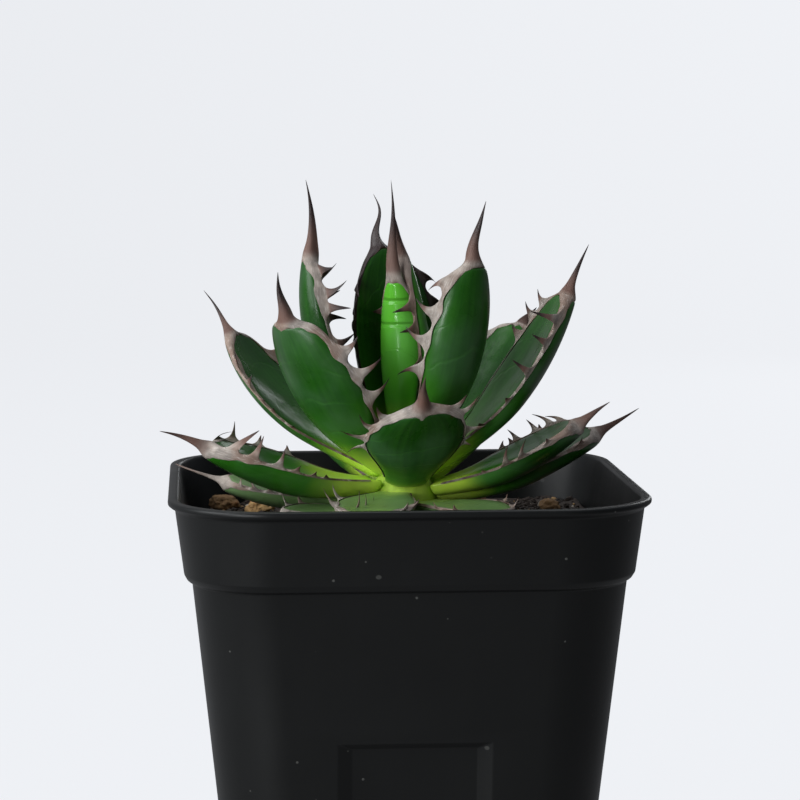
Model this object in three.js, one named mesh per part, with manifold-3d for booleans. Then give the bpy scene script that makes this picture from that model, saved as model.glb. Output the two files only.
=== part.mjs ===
// Potted agave: a spiral rosette of horn-edged, spiny leaves in a square plastic nursery pot.
// Millimetres, +Z up. The origin is the centre of the pot's underside, and the pot's front faces -Y.
import * as THREE from "three";
import { mergeVertices } from "three/addons/utils/BufferGeometryUtils.js";
import Module from "manifold-3d";

const wasm = await Module();
wasm.setup();

// ---- Pot ---------------------------------------------------------------------------------------
const POT_HEIGHT = 100;
const RIM_HALF = 45; // half of the outer width over the lip
const RIM_CORNER = 19.5; // corner radius of the lip, seen from above
const LIP_HEIGHT = 1.4;
const LIP_OVERHANG = 1.3; // how far the lip stands out from the collar
const COLLAR_HEIGHT = 15.6; // from the rim down to the step
const COLLAR_TOP_HALF = RIM_HALF - LIP_OVERHANG;
const COLLAR_FOOT_HALF = 42.1;
const COLLAR_CORNER = RIM_CORNER - LIP_OVERHANG;
const COLLAR_FOOT_CORNER = COLLAR_CORNER - 1.5;
const COLLAR_ROUND = 1.6; // the rounded underside of the collar
const BODY_TOP_HALF = 40.6;
const BODY_TOP_CORNER = 15.5;
const BODY_FOOT_HALF = 31.6;
const BODY_FOOT_CORNER = 12;
const WALL = 1.3;
const FLOOR = 1.8;
const FOOT_ROUND = 1.2;
const CORNER_STEPS = 5;
const STEP_HEIGHT = POT_HEIGHT - COLLAR_HEIGHT;

// A shallow pressed-in panel low on each side.
const PANEL_TOP = POT_HEIGHT - 44;
const PANEL_FOOT = 8;
const PANEL_HALF = 14.2;
const PANEL_SLOPE = 2.6;
const PANEL_DEPTH = 1.5;
const PANEL_START = 4; // how far outside the wall the cutter for the panel starts

const DRAIN_RADIUS = 3.5;
const DRAIN_SIDES = 12;
const DRAIN_SPREAD = 18; // from the centre to each corner hole, along X and along Y

// ---- Soil and stones ---------------------------------------------------------------------------
const GAP = 0.3; // between solids that rest on each other
const SOIL_TOP = POT_HEIGHT - 9.5;
const SOIL_RINGS = 9;
const SOIL_WAVE = 0.5; // how far the surface swells and sinks
const SOIL_GRAIN = 1.5; // how far neighbouring grains stand up and down
const SOIL_SHUFFLE = 0.04; // how far the grains stray from their rings, as a share of the distance

// Loose pumice stones: place across X and Y, then radius.
const STONES = [
  [-27, 19, 3.0],
  [-19, 11, 2.1],
  [-34, 31, 2.9],
  [-8, 34, 3.7],
  [17, 33, 3.2],
  [31.5, 17, 2.3],
  [36, -6, 3.2],
  [25, -31, 3.4],
  [2, -34, 3.0],
  [-27, -22, 3.6],
];
const STONE_STRETCH = [1.15, 0.95, 0.72];
const STONE_DENTS = [0.84, 1.14]; // how near and far a stone's corners lie, in its radius
const STONE_SINK = 0.45; // how deep a stone lies in the soil, in its radius

// ---- Plant -------------------------------------------------------------------------------------
const PLANT_X = 0.5;
// The stem's outline over the soil: [radius, height over the rim].
const STEM_OUTLINE = [
  [3.5, -25],
  [6.2, -10],
  [7.2, -6.5],
  [6.4, -2],
  [4.0, 2.5],
  [1.6, 6],
];
const STEM_SIDES = 12;

const FIRST_TURN = -95; // the way the youngest open leaf faces, in degrees from +X
const GOLDEN_TURN = 137.5; // from each leaf to the next older one
const FIRST_FOOT = 4.6; // height over the rim at which the youngest leaf leaves the stem
const FOOT_STEP = 0.6; // how much lower each older leaf starts
const FOOT_SINK = 0.8; // how deep a leaf's foot reaches into the stem's outline

// One row for each leaf, from the youngest outwards. end is where the green blade ends and tip where the
// terminal spine ends, both as [distance from the stem's axis, height over the rim]. start and finish are
// the angles over the horizon at which the midrib leaves the stem and enters the spine. lean turns the
// leaf away from its place in the spiral. half is half of the blade's width along its curve, roll the
// angle that half curls through, sway the sideways wave of the spine.
const LEAVES = [
  { lean: -137.5, end: [0.9, 26], tip: [0.2, 35], start: 86, finish: 95, half: 3.0, roll: 75, sway: 0.2 },
  { lean: -22, end: [3.8, 38.2], tip: [6.0, 58.3], start: 86, finish: 84, half: 5.0, roll: 75, sway: -0.4 },
  { lean: -10, end: [0.4, 42.5], tip: [-3.6, 54.0], start: 74, finish: 106, half: 6.0, roll: 66, sway: 0.3 },
  { lean: 0, end: [17.9, 42], tip: [18.8, 58.2], start: 48, finish: 98, half: 7.0, roll: 54, sway: 0.5 },
  { lean: -2, end: [17.4, 41.5], tip: [20.5, 54.5], start: 56, finish: 92, half: 8.6, roll: 50, sway: -0.8 },
  { lean: 15, end: [10.0, 44], tip: [14.5, 55.0], start: 74, finish: 80, half: 9.6, roll: 50, sway: 1.2 },
  { lean: -16, end: [28.5, 31.3], tip: [30.8, 41.5], start: 32, finish: 72, half: 11.2, roll: 44, sway: 0.6 },
  { lean: -12, end: [31.5, 35], tip: [36.1, 45.6], start: 33, finish: 70, half: 8.7, roll: 36, sway: 0.3 },
  { lean: 17, end: [34.2, 26.8], tip: [40, 36.2], start: 26, finish: 66, half: 8.6, roll: 33, sway: 0.6 },
  { lean: -10, end: [20.5, 15.5], tip: [26, 22.5], start: 36, finish: 50, half: 9.8, roll: 28, sway: 0.2 },
  { lean: -24, end: [32.5, 27.5], tip: [37, 31.6], start: 22, finish: 58, half: 9.0, roll: 48, sway: 0.5 },
  { lean: -6, end: [38.4, 7.0], tip: [48.6, 11], start: 0, finish: 32, half: 9.2, roll: 47, sway: 0.3 },
  { lean: 14, end: [33.2, 10.2], tip: [40.2, 15.3], start: 11, finish: 40, half: 9.2, roll: 30, sway: -0.3 },
  { lean: 0, end: [33, 13], tip: [40, 20], start: 16, finish: 46, half: 9.0, roll: 44, sway: 0.5 },
  { lean: -2, end: [27, -4.6], tip: [36.5, -2.6], start: 2, finish: 10, half: 8.2, roll: 36, sway: 0.4 },
  { lean: -18, end: [39, 7], tip: [49.2, 12.3], start: 5, finish: 26, half: 8.4, roll: 40, sway: 0.2 },
  { lean: -2, end: [35, -1.7], tip: [46, 1.8], start: 0, finish: 16, half: 7.6, roll: 36, sway: -0.2 },
  { lean: 0, end: [28, -4.8], tip: [37, -3], start: 2, finish: 9, half: 8.0, roll: 34, sway: 0.3 },
  { lean: 0, end: [31, 0.5], tip: [39.5, 4.5], start: 6, finish: 26, half: 8.2, roll: 38, sway: 0.4 },
  { lean: 0, end: [29, -5], tip: [38.5, -3], start: 1, finish: 10, half: 7.6, roll: 34, sway: 0.2 },
];
// Degrees that some blades have turned about their own midrib, by row: one margin hangs, the other stands.
const TWISTS = new Map([[7, -13], [8, 14], [11, 8], [12, -5], [15, -8], [16, 8]]);
const TWIST_DONE = 0.5; // share of the blade's length by which the whole twist is reached

const BLADE_STATIONS = 9;
const SPINE_STATIONS = 3;
const STATIONS = Array.from({ length: BLADE_STATIONS + SPINE_STATIONS + 1 }, (_, i) => i);
const ROUGH_STATIONS = [0, 1, 2, 3, 4, 6, BLADE_STATIONS]; // enough for a leaf's outline
const ROUGH_LINES = [-1, -0.4, 0.4, 1];
const STATION_CROWD = 0.8; // below 1 the stations stand closer together towards the blade's end
const HORN_START = 1; // the station where the horny edge begins
const COLUMNS = 5; // strips across the blade, of which the outermost on each side is horn
const BASE_WIDTH = 0.46; // width at the stem, as a share of the widest
const WIDEST_AT = 0.64;
const END_WIDTH = 0.5; // width where the spine's cap begins
const SHOULDER = 0.7; // below 1 the blade stays broad until close to its end
const FLESH = [0.9, 1.7, 1.2]; // half thickness along the blade's middle: at the stem, midway, at its end
const FULL_FLESH_HALF = 8; // blades with a smaller half width are thinner too
const BELLY = 1.35; // the outer face bulges more than the inner one
const EDGE = 0.4; // half thickness at the margin
const HORN_WIDTH = [0.7, 1.3]; // width of the horny edge, low on the blade and near its end
const CAP_ROUND = 0.68; // share of the end's width that the cap takes, so that the green ends round
const CAP_FLARE = 0.8; // share of the cap's width that is gone soon after its start
const SPINE_TIP = 0.14; // half width left at the very point
const MIDRIB_PULL = 0.36; // how far the midrib's end angles reach, as a share of its length
const CLEARANCE = 0.3; // what a leaf or tooth keeps from another leaf
const ROUGH_CLEARANCE = 0.7; // the same where the neighbour is taken in outline only

const TEETH_ZONE = [0.18, 0.93]; // share of the blade's length that bears teeth
const TOOTH_CHANCE = 0.85; // share of the margin's stretches in that zone that bear one
const TOOTH_LENGTH = [1.6, 4.2]; // low on the blade and where it is broadest
const TOOTH_WAIST = 0.36; // how far out along the tooth its waist is
const TOOTH_SLIM = 0.3; // the waist's width, as a share of the root's
const TOOTH_VARIES = [0.7, 1.2]; // shortest and longest tooth, as a share of the length at its place
const TOOTH_HOOK = [-0.67, 0.93]; // how far a point bends back or forward along the edge, in its length
const TOOTH_LIFT = [0.1, 0.6]; // how far a point bends in over the inner face, in its length
const TOOTH_FULL_HALF = 9; // a blade of this half width bears teeth of the full length

// ---- Materials ---------------------------------------------------------------------------------
const PLASTIC = new THREE.MeshStandardMaterial({ color: 0x1d1e20, roughness: 0.5, metalness: 0 });
const SOIL = new THREE.MeshStandardMaterial({ color: 0x2a211a, roughness: 0.95, metalness: 0 });
const PUMICE = new THREE.MeshStandardMaterial({ color: 0xc29a66, roughness: 0.9, metalness: 0 });
const STEM = new THREE.MeshStandardMaterial({ color: 0xa9b85a, roughness: 0.7, metalness: 0 });
const LEAF_GREEN = new THREE.MeshStandardMaterial({ color: 0x2f7a25, roughness: 0.38, metalness: 0 });
const HORN = new THREE.MeshStandardMaterial({ color: 0x8d7b72, roughness: 0.6, metalness: 0 });

// ---- Small tools -------------------------------------------------------------------------------
const lerp = THREE.MathUtils.lerp;
const radians = THREE.MathUtils.degToRad;
const smooth = (from, to, x) => THREE.MathUtils.smoothstep(x, from, to);

// A repeatable draw between 0 and 1 for each pair of whole numbers.
function draw(a, b) {
  const wave = Math.sin(a * 127.1 + b * 311.7) * 43758.5453;
  return wave - Math.floor(wave);
}

function toSolid(geometry) {
  const bare = geometry.clone();
  bare.deleteAttribute("normal");
  bare.deleteAttribute("uv");
  const merged = mergeVertices(bare, 1e-4);
  const mesh = new wasm.Mesh({
    numProp: 3,
    vertProperties: new Float32Array(merged.attributes.position.array),
    triVerts: new Uint32Array(merged.index.array),
  });
  return new wasm.Manifold(mesh);
}

function toGeometry(solid) {
  const mesh = solid.getMesh();
  const geometry = new THREE.BufferGeometry();
  geometry.setAttribute("position", new THREE.BufferAttribute(mesh.vertProperties, 3));
  geometry.setIndex(new THREE.BufferAttribute(mesh.triVerts, 1));
  geometry.computeVertexNormals();
  return geometry;
}

// The biggest body of a solid: a scrap that a cut has left loose is dropped.
function largest(solid) {
  const bodies = solid.decompose();
  return bodies.reduce((best, body) => (body.volume() > best.volume() ? body : best));
}

function namedMesh(name, solid, material) {
  const mesh = new THREE.Mesh(toGeometry(solid), material);
  mesh.name = name;
  return mesh;
}

// A closed skin over rings of equally many points, closed at each end by a fan round the ring's middle.
function loft(rings) {
  const count = rings[0].length;
  const points = rings.flat();
  const index = [];
  for (let ring = 0; ring < rings.length - 1; ring += 1) {
    for (let i = 0; i < count; i += 1) {
      const here = ring * count + i;
      const next = ring * count + ((i + 1) % count);
      index.push(here, next, next + count, here, next + count, here + count);
    }
  }
  const closeEnd = (ring, facingUp) => {
    const middle = points.length;
    const sum = rings[ring].reduce((total, p) => total.add(p), new THREE.Vector3());
    points.push(sum.divideScalar(count));
    for (let i = 0; i < count; i += 1) {
      const here = ring * count + i;
      const next = ring * count + ((i + 1) % count);
      index.push(...(facingUp ? [middle, here, next] : [middle, next, here]));
    }
  };
  closeEnd(0, false);
  closeEnd(rings.length - 1, true);
  return new THREE.BufferGeometry().setFromPoints(points).setIndex(index);
}

// ---- Pot ---------------------------------------------------------------------------------------
// A square ring with round corners, at a height.
function squareRing(half, corner, z) {
  const reach = half - corner;
  const ring = [];
  for (let quarter = 0; quarter < 4; quarter += 1) {
    const middle = (quarter + 0.5) * (Math.PI / 2);
    const centreX = Math.sign(Math.cos(middle)) * reach;
    const centreY = Math.sign(Math.sin(middle)) * reach;
    for (let step = 0; step <= CORNER_STEPS; step += 1) {
      const angle = (quarter + step / CORNER_STEPS) * (Math.PI / 2);
      const x = centreX + corner * Math.cos(angle);
      const y = centreY + corner * Math.sin(angle);
      ring.push(new THREE.Vector3(x, y, z));
    }
  }
  return ring;
}

// Half width and corner radius of the body's outside at a height under the collar.
function bodyAt(z) {
  const share = z / STEP_HEIGHT;
  const half = lerp(BODY_FOOT_HALF, BODY_TOP_HALF, share);
  return [half, lerp(BODY_FOOT_CORNER, BODY_TOP_CORNER, share)];
}

function potOutside() {
  const [footHalf, footCorner] = bodyAt(FOOT_ROUND);
  const lipFoot = POT_HEIGHT - LIP_HEIGHT;
  const roundMiddle = STEP_HEIGHT + COLLAR_ROUND / 2;
  return loft([
    squareRing(footHalf - FOOT_ROUND, footCorner - FOOT_ROUND / 2, 0),
    squareRing(footHalf - FOOT_ROUND / 3, footCorner, FOOT_ROUND / 3),
    squareRing(footHalf, footCorner, FOOT_ROUND),
    squareRing(BODY_TOP_HALF, BODY_TOP_CORNER, STEP_HEIGHT),
    squareRing(COLLAR_FOOT_HALF - COLLAR_ROUND / 4, COLLAR_FOOT_CORNER, roundMiddle),
    squareRing(COLLAR_FOOT_HALF, COLLAR_FOOT_CORNER, STEP_HEIGHT + COLLAR_ROUND),
    squareRing(COLLAR_TOP_HALF, COLLAR_CORNER, lipFoot),
    squareRing(RIM_HALF, RIM_CORNER, lipFoot),
    squareRing(RIM_HALF, RIM_CORNER, POT_HEIGHT),
  ]);
}

function potInside() {
  const [floorHalf, floorCorner] = bodyAt(FLOOR);
  const innerStep = STEP_HEIGHT + COLLAR_ROUND;
  const mouthHalf = COLLAR_TOP_HALF - WALL / 2;
  return loft([
    squareRing(floorHalf - WALL, floorCorner - WALL, FLOOR),
    squareRing(BODY_TOP_HALF - WALL, BODY_TOP_CORNER - WALL, innerStep),
    squareRing(COLLAR_FOOT_HALF - WALL, COLLAR_FOOT_CORNER, innerStep + WALL),
    squareRing(mouthHalf, COLLAR_CORNER, POT_HEIGHT),
    squareRing(mouthHalf, COLLAR_CORNER, POT_HEIGHT + LIP_HEIGHT),
  ]);
}

// The block that presses the panel into the -Y side. Grown, it is the bulge that the panel makes inside.
function panelPress(grow) {
  const half = PANEL_HALF + grow;
  const foot = PANEL_FOOT - grow;
  const top = PANEL_TOP + grow;
  const slope = PANEL_SLOPE / 2;
  const ring = (reach, low, high, inset) =>
    [
      [-reach, low],
      [reach, low],
      [reach, high],
      [-reach, high],
    ].map(([x, z]) => new THREE.Vector3(x, inset - bodyAt(z)[0], z));
  return loft([
    ring(half - PANEL_SLOPE, foot + slope, top - slope, PANEL_DEPTH + grow),
    ring(half, foot, top, 0),
    ring(half, foot, top, -PANEL_START),
  ]);
}

// The same cut or hole on all four sides.
function onEachSide(solid, cutter) {
  let left = solid;
  for (let side = 0; side < 4; side += 1) left = left.subtract(cutter.rotate([0, 0, side * 90]));
  return left;
}

function pot() {
  const outside = onEachSide(toSolid(potOutside()), toSolid(panelPress(0)));
  const inside = onEachSide(toSolid(potInside()), toSolid(panelPress(WALL)));
  const hole = new THREE.CylinderGeometry(DRAIN_RADIUS, DRAIN_RADIUS, 4 * FLOOR, DRAIN_SIDES);
  hole.rotateX(Math.PI / 2).translate(DRAIN_SPREAD, DRAIN_SPREAD, 0);
  return onEachSide(outside.subtract(inside), toSolid(hole));
}

// ---- Soil and stones ---------------------------------------------------------------------------
function soilHeight(x, y) {
  const swell = Math.sin(x * 0.31 + 1.3) * Math.cos(y * 0.27) + Math.sin(x * 0.13 - y * 0.11);
  return SOIL_TOP + SOIL_WAVE * swell;
}

// The soil fills the pot's inside, clear of its walls by the gap, and ends in a grainy surface.
function soil() {
  const inset = WALL + GAP;
  const side = (z) => {
    const [half, corner] = bodyAt(z);
    return squareRing(half - inset, corner - inset, z);
  };
  const edge = side(SOIL_TOP - 2 * SOIL_GRAIN);
  const rings = [side(FLOOR + GAP), edge];
  for (let ring = 0; ring < SOIL_RINGS; ring += 1) {
    const share = 1 - ring / SOIL_RINGS;
    const grain = (p, i) => {
      const shuffle = ring > 0 ? lerp(-SOIL_SHUFFLE, SOIL_SHUFFLE, draw(ring, i + edge.length)) : 0;
      const [x, y] = [p.x * share * (1 + shuffle), p.y * share * (1 + shuffle)];
      return new THREE.Vector3(x, y, soilHeight(x, y) + SOIL_GRAIN * (draw(ring, i) - 0.5));
    };
    rings.push(edge.map(grain));
  }
  return onEachSide(toSolid(loft(rings)), toSolid(panelPress(inset)));
}

function stoneGeometry([x, y, radius], k, grow) {
  const shape = new THREE.DodecahedronGeometry(radius + grow);
  const stone = mergeVertices(shape.deleteAttribute("normal").deleteAttribute("uv"), 1e-3);
  const corner = new THREE.Vector3();
  const { position } = stone.attributes;
  for (let i = 0; i < position.count; i += 1) {
    corner.fromBufferAttribute(position, i).multiplyScalar(lerp(...STONE_DENTS, draw(k, i)));
    position.setXYZ(i, ...corner);
  }
  stone.rotateX(6 * draw(k, 91)).rotateZ(6 * draw(k, 92)).scale(...STONE_STRETCH);
  return stone.translate(x, y, soilHeight(x, y) + radius * (STONE_STRETCH[2] - STONE_SINK));
}

// ---- Stem --------------------------------------------------------------------------------------
function stemGeometry(grow) {
  const outline = STEM_OUTLINE.map(([radius, z]) => new THREE.Vector2(radius + grow, POT_HEIGHT + z));
  const foot = new THREE.Vector2(0, outline[0].y - grow);
  const top = new THREE.Vector2(0, outline.at(-1).y + grow);
  outline[0].y -= grow;
  outline.at(-1).y += grow;
  const turned = new THREE.LatheGeometry([foot, ...outline, top], STEM_SIDES);
  return turned.rotateX(Math.PI / 2).translate(PLANT_X, 0, 0);
}

// The stem's radius at a height over the rim.
function stemRadius(z) {
  const above = STEM_OUTLINE.findIndex(([, height]) => height > z);
  const [low, high] = [STEM_OUTLINE[above - 1], STEM_OUTLINE[above]];
  return lerp(low[0], high[0], (z - low[1]) / (high[1] - low[1]));
}

// ---- Leaves ------------------------------------------------------------------------------------
// The blade's half width along its length, as a share of the widest.
function bladeWidth(t) {
  if (t < WIDEST_AT) return lerp(BASE_WIDTH, 1, smooth(0, WIDEST_AT, t));
  const past = (t - WIDEST_AT) / (1 - WIDEST_AT);
  return END_WIDTH + (1 - END_WIDTH) * (1 - past ** 2) ** SHOULDER;
}

// Share of the leaf's length at a station: 0 to 1 along the blade, 1 to 2 along the spine.
function stationAt(i) {
  if (i <= BLADE_STATIONS) return (i / BLADE_STATIONS) ** STATION_CROWD;
  return 1 + ((i - BLADE_STATIONS) / SPINE_STATIONS) ** 1.5;
}

// A curve in the leaf's own upright plane, where x is the distance from the stem's axis.
function upright(from, to, start, finish) {
  const pull = Math.hypot(to[0] - from[0], to[1] - from[1]) * MIDRIB_PULL;
  const point = ([x, z], angle, length) => {
    const turned = radians(angle);
    return new THREE.Vector3(x + Math.cos(turned) * length, 0, POT_HEIGHT + z + Math.sin(turned) * length);
  };
  const handles = [point(from, start, pull), point(to, finish, -pull)];
  return new THREE.CubicBezierCurve3(point(from, 0, 0), ...handles, point(to, 0, 0));
}

// A row of the table with its place on the stem: the bud comes first, before the youngest open leaf.
function grown(shape, row) {
  const order = row - 1;
  const name = order < 0 ? "bud" : `leaf_${String(row).padStart(2, "0")}`;
  const footHeight = FIRST_FOOT - FOOT_STEP * order;
  const foot = [stemRadius(footHeight) - FOOT_SINK, footHeight];
  const { end, tip, start, finish } = shape;
  const spineAngle = THREE.MathUtils.radToDeg(Math.atan2(tip[1] - end[1], tip[0] - end[0]));
  const blade = upright(foot, end, start, finish);
  const spine = upright(end, tip, finish, 2 * spineAngle - finish);
  const turn = radians(FIRST_TURN + GOLDEN_TURN * order + shape.lean);
  const twist = radians(TWISTS.get(row) ?? 0);
  return { ...shape, order, name, blade, spine, turn, twist };
}

// Where the leaf is at t, and which way it faces there.
function leafFrame(leaf, t) {
  const curve = t <= 1 ? leaf.blade : leaf.spine;
  const at = t <= 1 ? t : t - 1;
  const place = curve.getPoint(at);
  const forward = curve.getTangent(at);
  const upward = new THREE.Vector3(-forward.z, 0, forward.x);
  const sideways = new THREE.Vector3(0, 1, 0);
  const twist = -leaf.twist * smooth(0, TWIST_DONE, t);
  for (const each of [upward, sideways]) each.applyAxisAngle(forward, twist);
  if (t > 1) place.y += leaf.sway * Math.sin(at * Math.PI * 2) * (1 - at / 2);
  const axis = new THREE.Vector3(0, 0, 1);
  for (const each of [place, forward, upward, sideways]) each.applyAxisAngle(axis, leaf.turn);
  place.x += PLANT_X;
  return { place, forward, upward, sideways };
}

function fleshAt(leaf, t) {
  const [atStem, midway, atEnd] = FLESH;
  const thick = t < 0.5 ? lerp(atStem, midway, smooth(0, 0.5, t)) : lerp(midway, atEnd, 2 * t - 1);
  return thick * Math.min(leaf.half / FULL_FLESH_HALF, 1);
}

// Half width, curl, half thickness along the middle and at the edge, at t.
function leafSection(leaf, t) {
  const roll = radians(leaf.roll);
  if (t <= 1) return { half: leaf.half * bladeWidth(t), roll, flesh: fleshAt(leaf, t), edge: EDGE };
  const left = 2 - t;
  const slim = CAP_FLARE * left ** 8 + (1 - CAP_FLARE) * left;
  const half = Math.max(leaf.half * END_WIDTH * slim, SPINE_TIP);
  const edge = Math.min(EDGE, half / 2);
  return { half, roll: roll * left, flesh: Math.min(fleshAt(leaf, 1) * left, half), edge };
}

// A point on the inner face (side 1) or outer face (side -1), u across from -1 to 1.
function leafPoint(frame, section, u, side, grow) {
  const bend = u * section.roll;
  const bow = (section.half + grow) / Math.max(section.roll, 0.02);
  const body = section.flesh * (1 - Math.abs(u) ** 2.2) ** 0.8;
  const thick = section.edge + grow + body * (side > 0 ? 1 : BELLY);
  return frame.place
    .clone()
    .addScaledVector(frame.sideways, bow * Math.sin(bend) - side * thick * Math.sin(bend))
    .addScaledVector(frame.upward, bow * (1 - Math.cos(bend)) + side * thick * Math.cos(bend));
}

// The lines between the columns, across from -1 to 1: the outermost strip is the horny edge.
function columnLines(section, t) {
  const cap = lerp(1, CAP_ROUND, smooth(0.88, 1, t));
  const green = Math.max(1 - lerp(...HORN_WIDTH, smooth(0.2, 0.9, t)) / section.half, 0.4) * cap;
  const inner = COLUMNS - 2;
  const lines = Array.from({ length: inner + 1 }, (_, j) => green * (-1 + (2 * j) / inner));
  return [-1, ...lines, 1];
}

// The two faces of a leaf as rows of points at the given stations.
function leafSheet(leaf, stations, linesAt, grow) {
  const faces = [[], []];
  for (const i of stations) {
    const t = stationAt(i);
    const frame = leafFrame(leaf, t);
    const section = leafSection(leaf, t);
    const lines = linesAt(section, t);
    faces[0].push(lines.map((u) => leafPoint(frame, section, u, 1, grow)));
    faces[1].push(lines.map((u) => leafPoint(frame, section, u, -1, grow)));
  }
  return faces;
}

const isHorn = (i, j) => i >= BLADE_STATIONS || (i >= HORN_START && (j === 0 || j === COLUMNS - 1));
const isGreen = (i, j) => !isHorn(i, j);

// The corners of the margin's wall between stations i and i + 1, anticlockwise from outside.
function marginCorners([upper, lower], i, edge) {
  const j = edge < 0 ? 0 : COLUMNS;
  const wall = [upper[i][j], lower[i][j], lower[i + 1][j], upper[i + 1][j]];
  return edge < 0 ? wall : wall.reverse();
}

// Away from the margin, along it towards the spine, and square to the blade over its inner face.
function marginFrame(leaf, t, edge) {
  const { forward, upward, sideways } = leafFrame(leaf, t);
  const bend = edge * leafSection(leaf, t).roll;
  const mix = (a, b) => sideways.clone().multiplyScalar(a).addScaledVector(upward, b);
  return {
    outward: mix(edge * Math.cos(bend), edge * Math.sin(bend)),
    forward,
    inward: mix(-Math.sin(bend), Math.cos(bend)),
  };
}

// A tooth on the margin: the wall drawn out to a waist and then hooked over to a point.
function toothOn(leaf, sheet, i, edge) {
  const seed = leaf.order * 60 + i * 2 + (edge > 0 ? 1 : 0);
  const t = (stationAt(i) + stationAt(i + 1)) / 2;
  const { outward, forward, inward } = marginFrame(leaf, t, edge);
  const place = lerp(...TOOTH_LENGTH, smooth(0.2, 0.7, t));
  const length = (place * lerp(...TOOTH_VARIES, draw(seed, 2)) * leaf.half) / TOOTH_FULL_HALF;
  const hook = lerp(...TOOTH_HOOK, draw(seed, 3));
  const lift = lerp(...TOOTH_LIFT, draw(seed, 4));
  const corners = marginCorners(sheet, i, edge);
  const middle = corners.reduce((sum, p) => sum.add(p), new THREE.Vector3()).divideScalar(4);
  const along = (share) =>
    middle
      .clone()
      .addScaledVector(outward, length * share)
      .addScaledVector(forward, length * hook * share ** 2)
      .addScaledVector(inward, length * lift * share ** 2);
  const waistMiddle = along(TOOTH_WAIST);
  const waist = corners.map((p) => p.clone().sub(middle).multiplyScalar(TOOTH_SLIM).add(waistMiddle));
  return { edge, i, corners, waist, point: along(1) };
}

// The tooth as a closed body of its own, to see whether it has room.
function toothSolid({ corners, waist, point }) {
  const index = [0, 3, 2, 0, 2, 1];
  for (let k = 0; k < 4; k += 1) {
    const next = (k + 1) % 4;
    index.push(k, next, next + 4, k, next + 4, k + 4, k + 4, next + 4, 8);
  }
  return toSolid(new THREE.BufferGeometry().setFromPoints([...corners, ...waist, point]).setIndex(index));
}

function teethOf(leaf, sheet) {
  const found = [];
  for (const edge of [-1, 1]) {
    for (let i = HORN_START; i < BLADE_STATIONS; i += 1) {
      const t = (stationAt(i) + stationAt(i + 1)) / 2;
      const inZone = t > TEETH_ZONE[0] && t < TEETH_ZONE[1];
      const wanted = draw(leaf.order * 60 + i, edge + 9) < TOOTH_CHANCE;
      if (inZone && wanted) found.push(toothOn(leaf, sheet, i, edge));
    }
  }
  return found;
}

// A solid of the wanted cells of a sheet. Two bodies that share a wall split it into the same triangles.
function cellSolid([upper, lower], wanted, teeth) {
  const wide = upper[0].length;
  const points = upper.flatMap((row, i) => row.flatMap((p, j) => [p, lower[i][j]]));
  const id = (i, j, side) => (i * wide + j) * 2 + side;
  const index = [];
  const quad = (a, b, c, d) => {
    if (Math.min(a, c) < Math.min(b, d)) index.push(a, b, c, a, c, d);
    else index.push(b, c, d, b, d, a);
  };
  const taken = (i, j) => i >= 0 && j >= 0 && i < upper.length - 1 && j < wide - 1 && wanted(i, j);
  const drawnOut = (corners, tooth) => {
    const first = points.push(...tooth.waist, tooth.point) - 5;
    corners.forEach((a, k) => {
      const next = (k + 1) % 4;
      quad(a, corners[next], first + next, first + k);
      index.push(first + k, first + next, first + 4);
    });
  };
  const wall = (i, j, k, l, edge) => {
    const corners = [id(i, j, 0), id(i, j, 1), id(k, l, 1), id(k, l, 0)];
    const tooth = teeth.find((each) => each.edge === edge && each.i === Math.min(i, k));
    if (tooth) drawnOut(corners, tooth);
    else quad(...corners);
  };
  for (let i = 0; i < upper.length - 1; i += 1) {
    for (let j = 0; j < wide - 1; j += 1) {
      if (!taken(i, j)) continue;
      quad(id(i, j, 0), id(i + 1, j, 0), id(i + 1, j + 1, 0), id(i, j + 1, 0));
      quad(id(i, j, 1), id(i, j + 1, 1), id(i + 1, j + 1, 1), id(i + 1, j, 1));
      if (!taken(i - 1, j)) wall(i, j + 1, i, j, 0);
      if (!taken(i + 1, j)) wall(i + 1, j, i + 1, j + 1, 0);
      if (!taken(i, j - 1)) wall(i, j, i + 1, j, j === 0 ? -1 : 0);
      if (!taken(i, j + 1)) wall(i + 1, j + 1, i, j + 1, j === wide - 2 ? 1 : 0);
    }
  }
  // Going to loose triangles leaves out the points of cells that aren't wanted.
  return toSolid(new THREE.BufferGeometry().setFromPoints(points).setIndex(index).toNonIndexed());
}

// Keeps the teeth that stay clear of every other leaf and of the teeth placed before them.
function fitTeeth(plant) {
  const placed = [];
  for (const own of plant) {
    const rooms = plant.filter((other) => other !== own).map((other) => other.room);
    own.teeth = own.teeth.filter((tooth) => {
      const solid = toothSolid(tooth);
      const others = placed.filter((each) => each.own !== own).map((each) => each.solid);
      const clear = [...rooms, ...others].every((other) => solid.intersect(other).isEmpty());
      if (clear) placed.push({ own, solid });
      return clear;
    });
  }
}

// A leaf with its finest sheet, the room it takes with its clearance, and a simpler outline of that room.
function prepared(shape, row) {
  const leaf = grown(shape, row);
  const whole = (stations, linesAt, grow) => {
    const grownSheet = leafSheet(leaf, stations, linesAt, grow);
    return cellSolid(grownSheet, () => true, []);
  };
  const sheet = leafSheet(leaf, STATIONS, columnLines, 0);
  const room = whole(STATIONS, columnLines, CLEARANCE);
  const outline = whole(ROUGH_STATIONS, () => ROUGH_LINES, ROUGH_CLEARANCE);
  const teeth = row === 0 ? [] : teethOf(leaf, sheet);
  return { ...leaf, sheet, room, outline, teeth };
}

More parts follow.
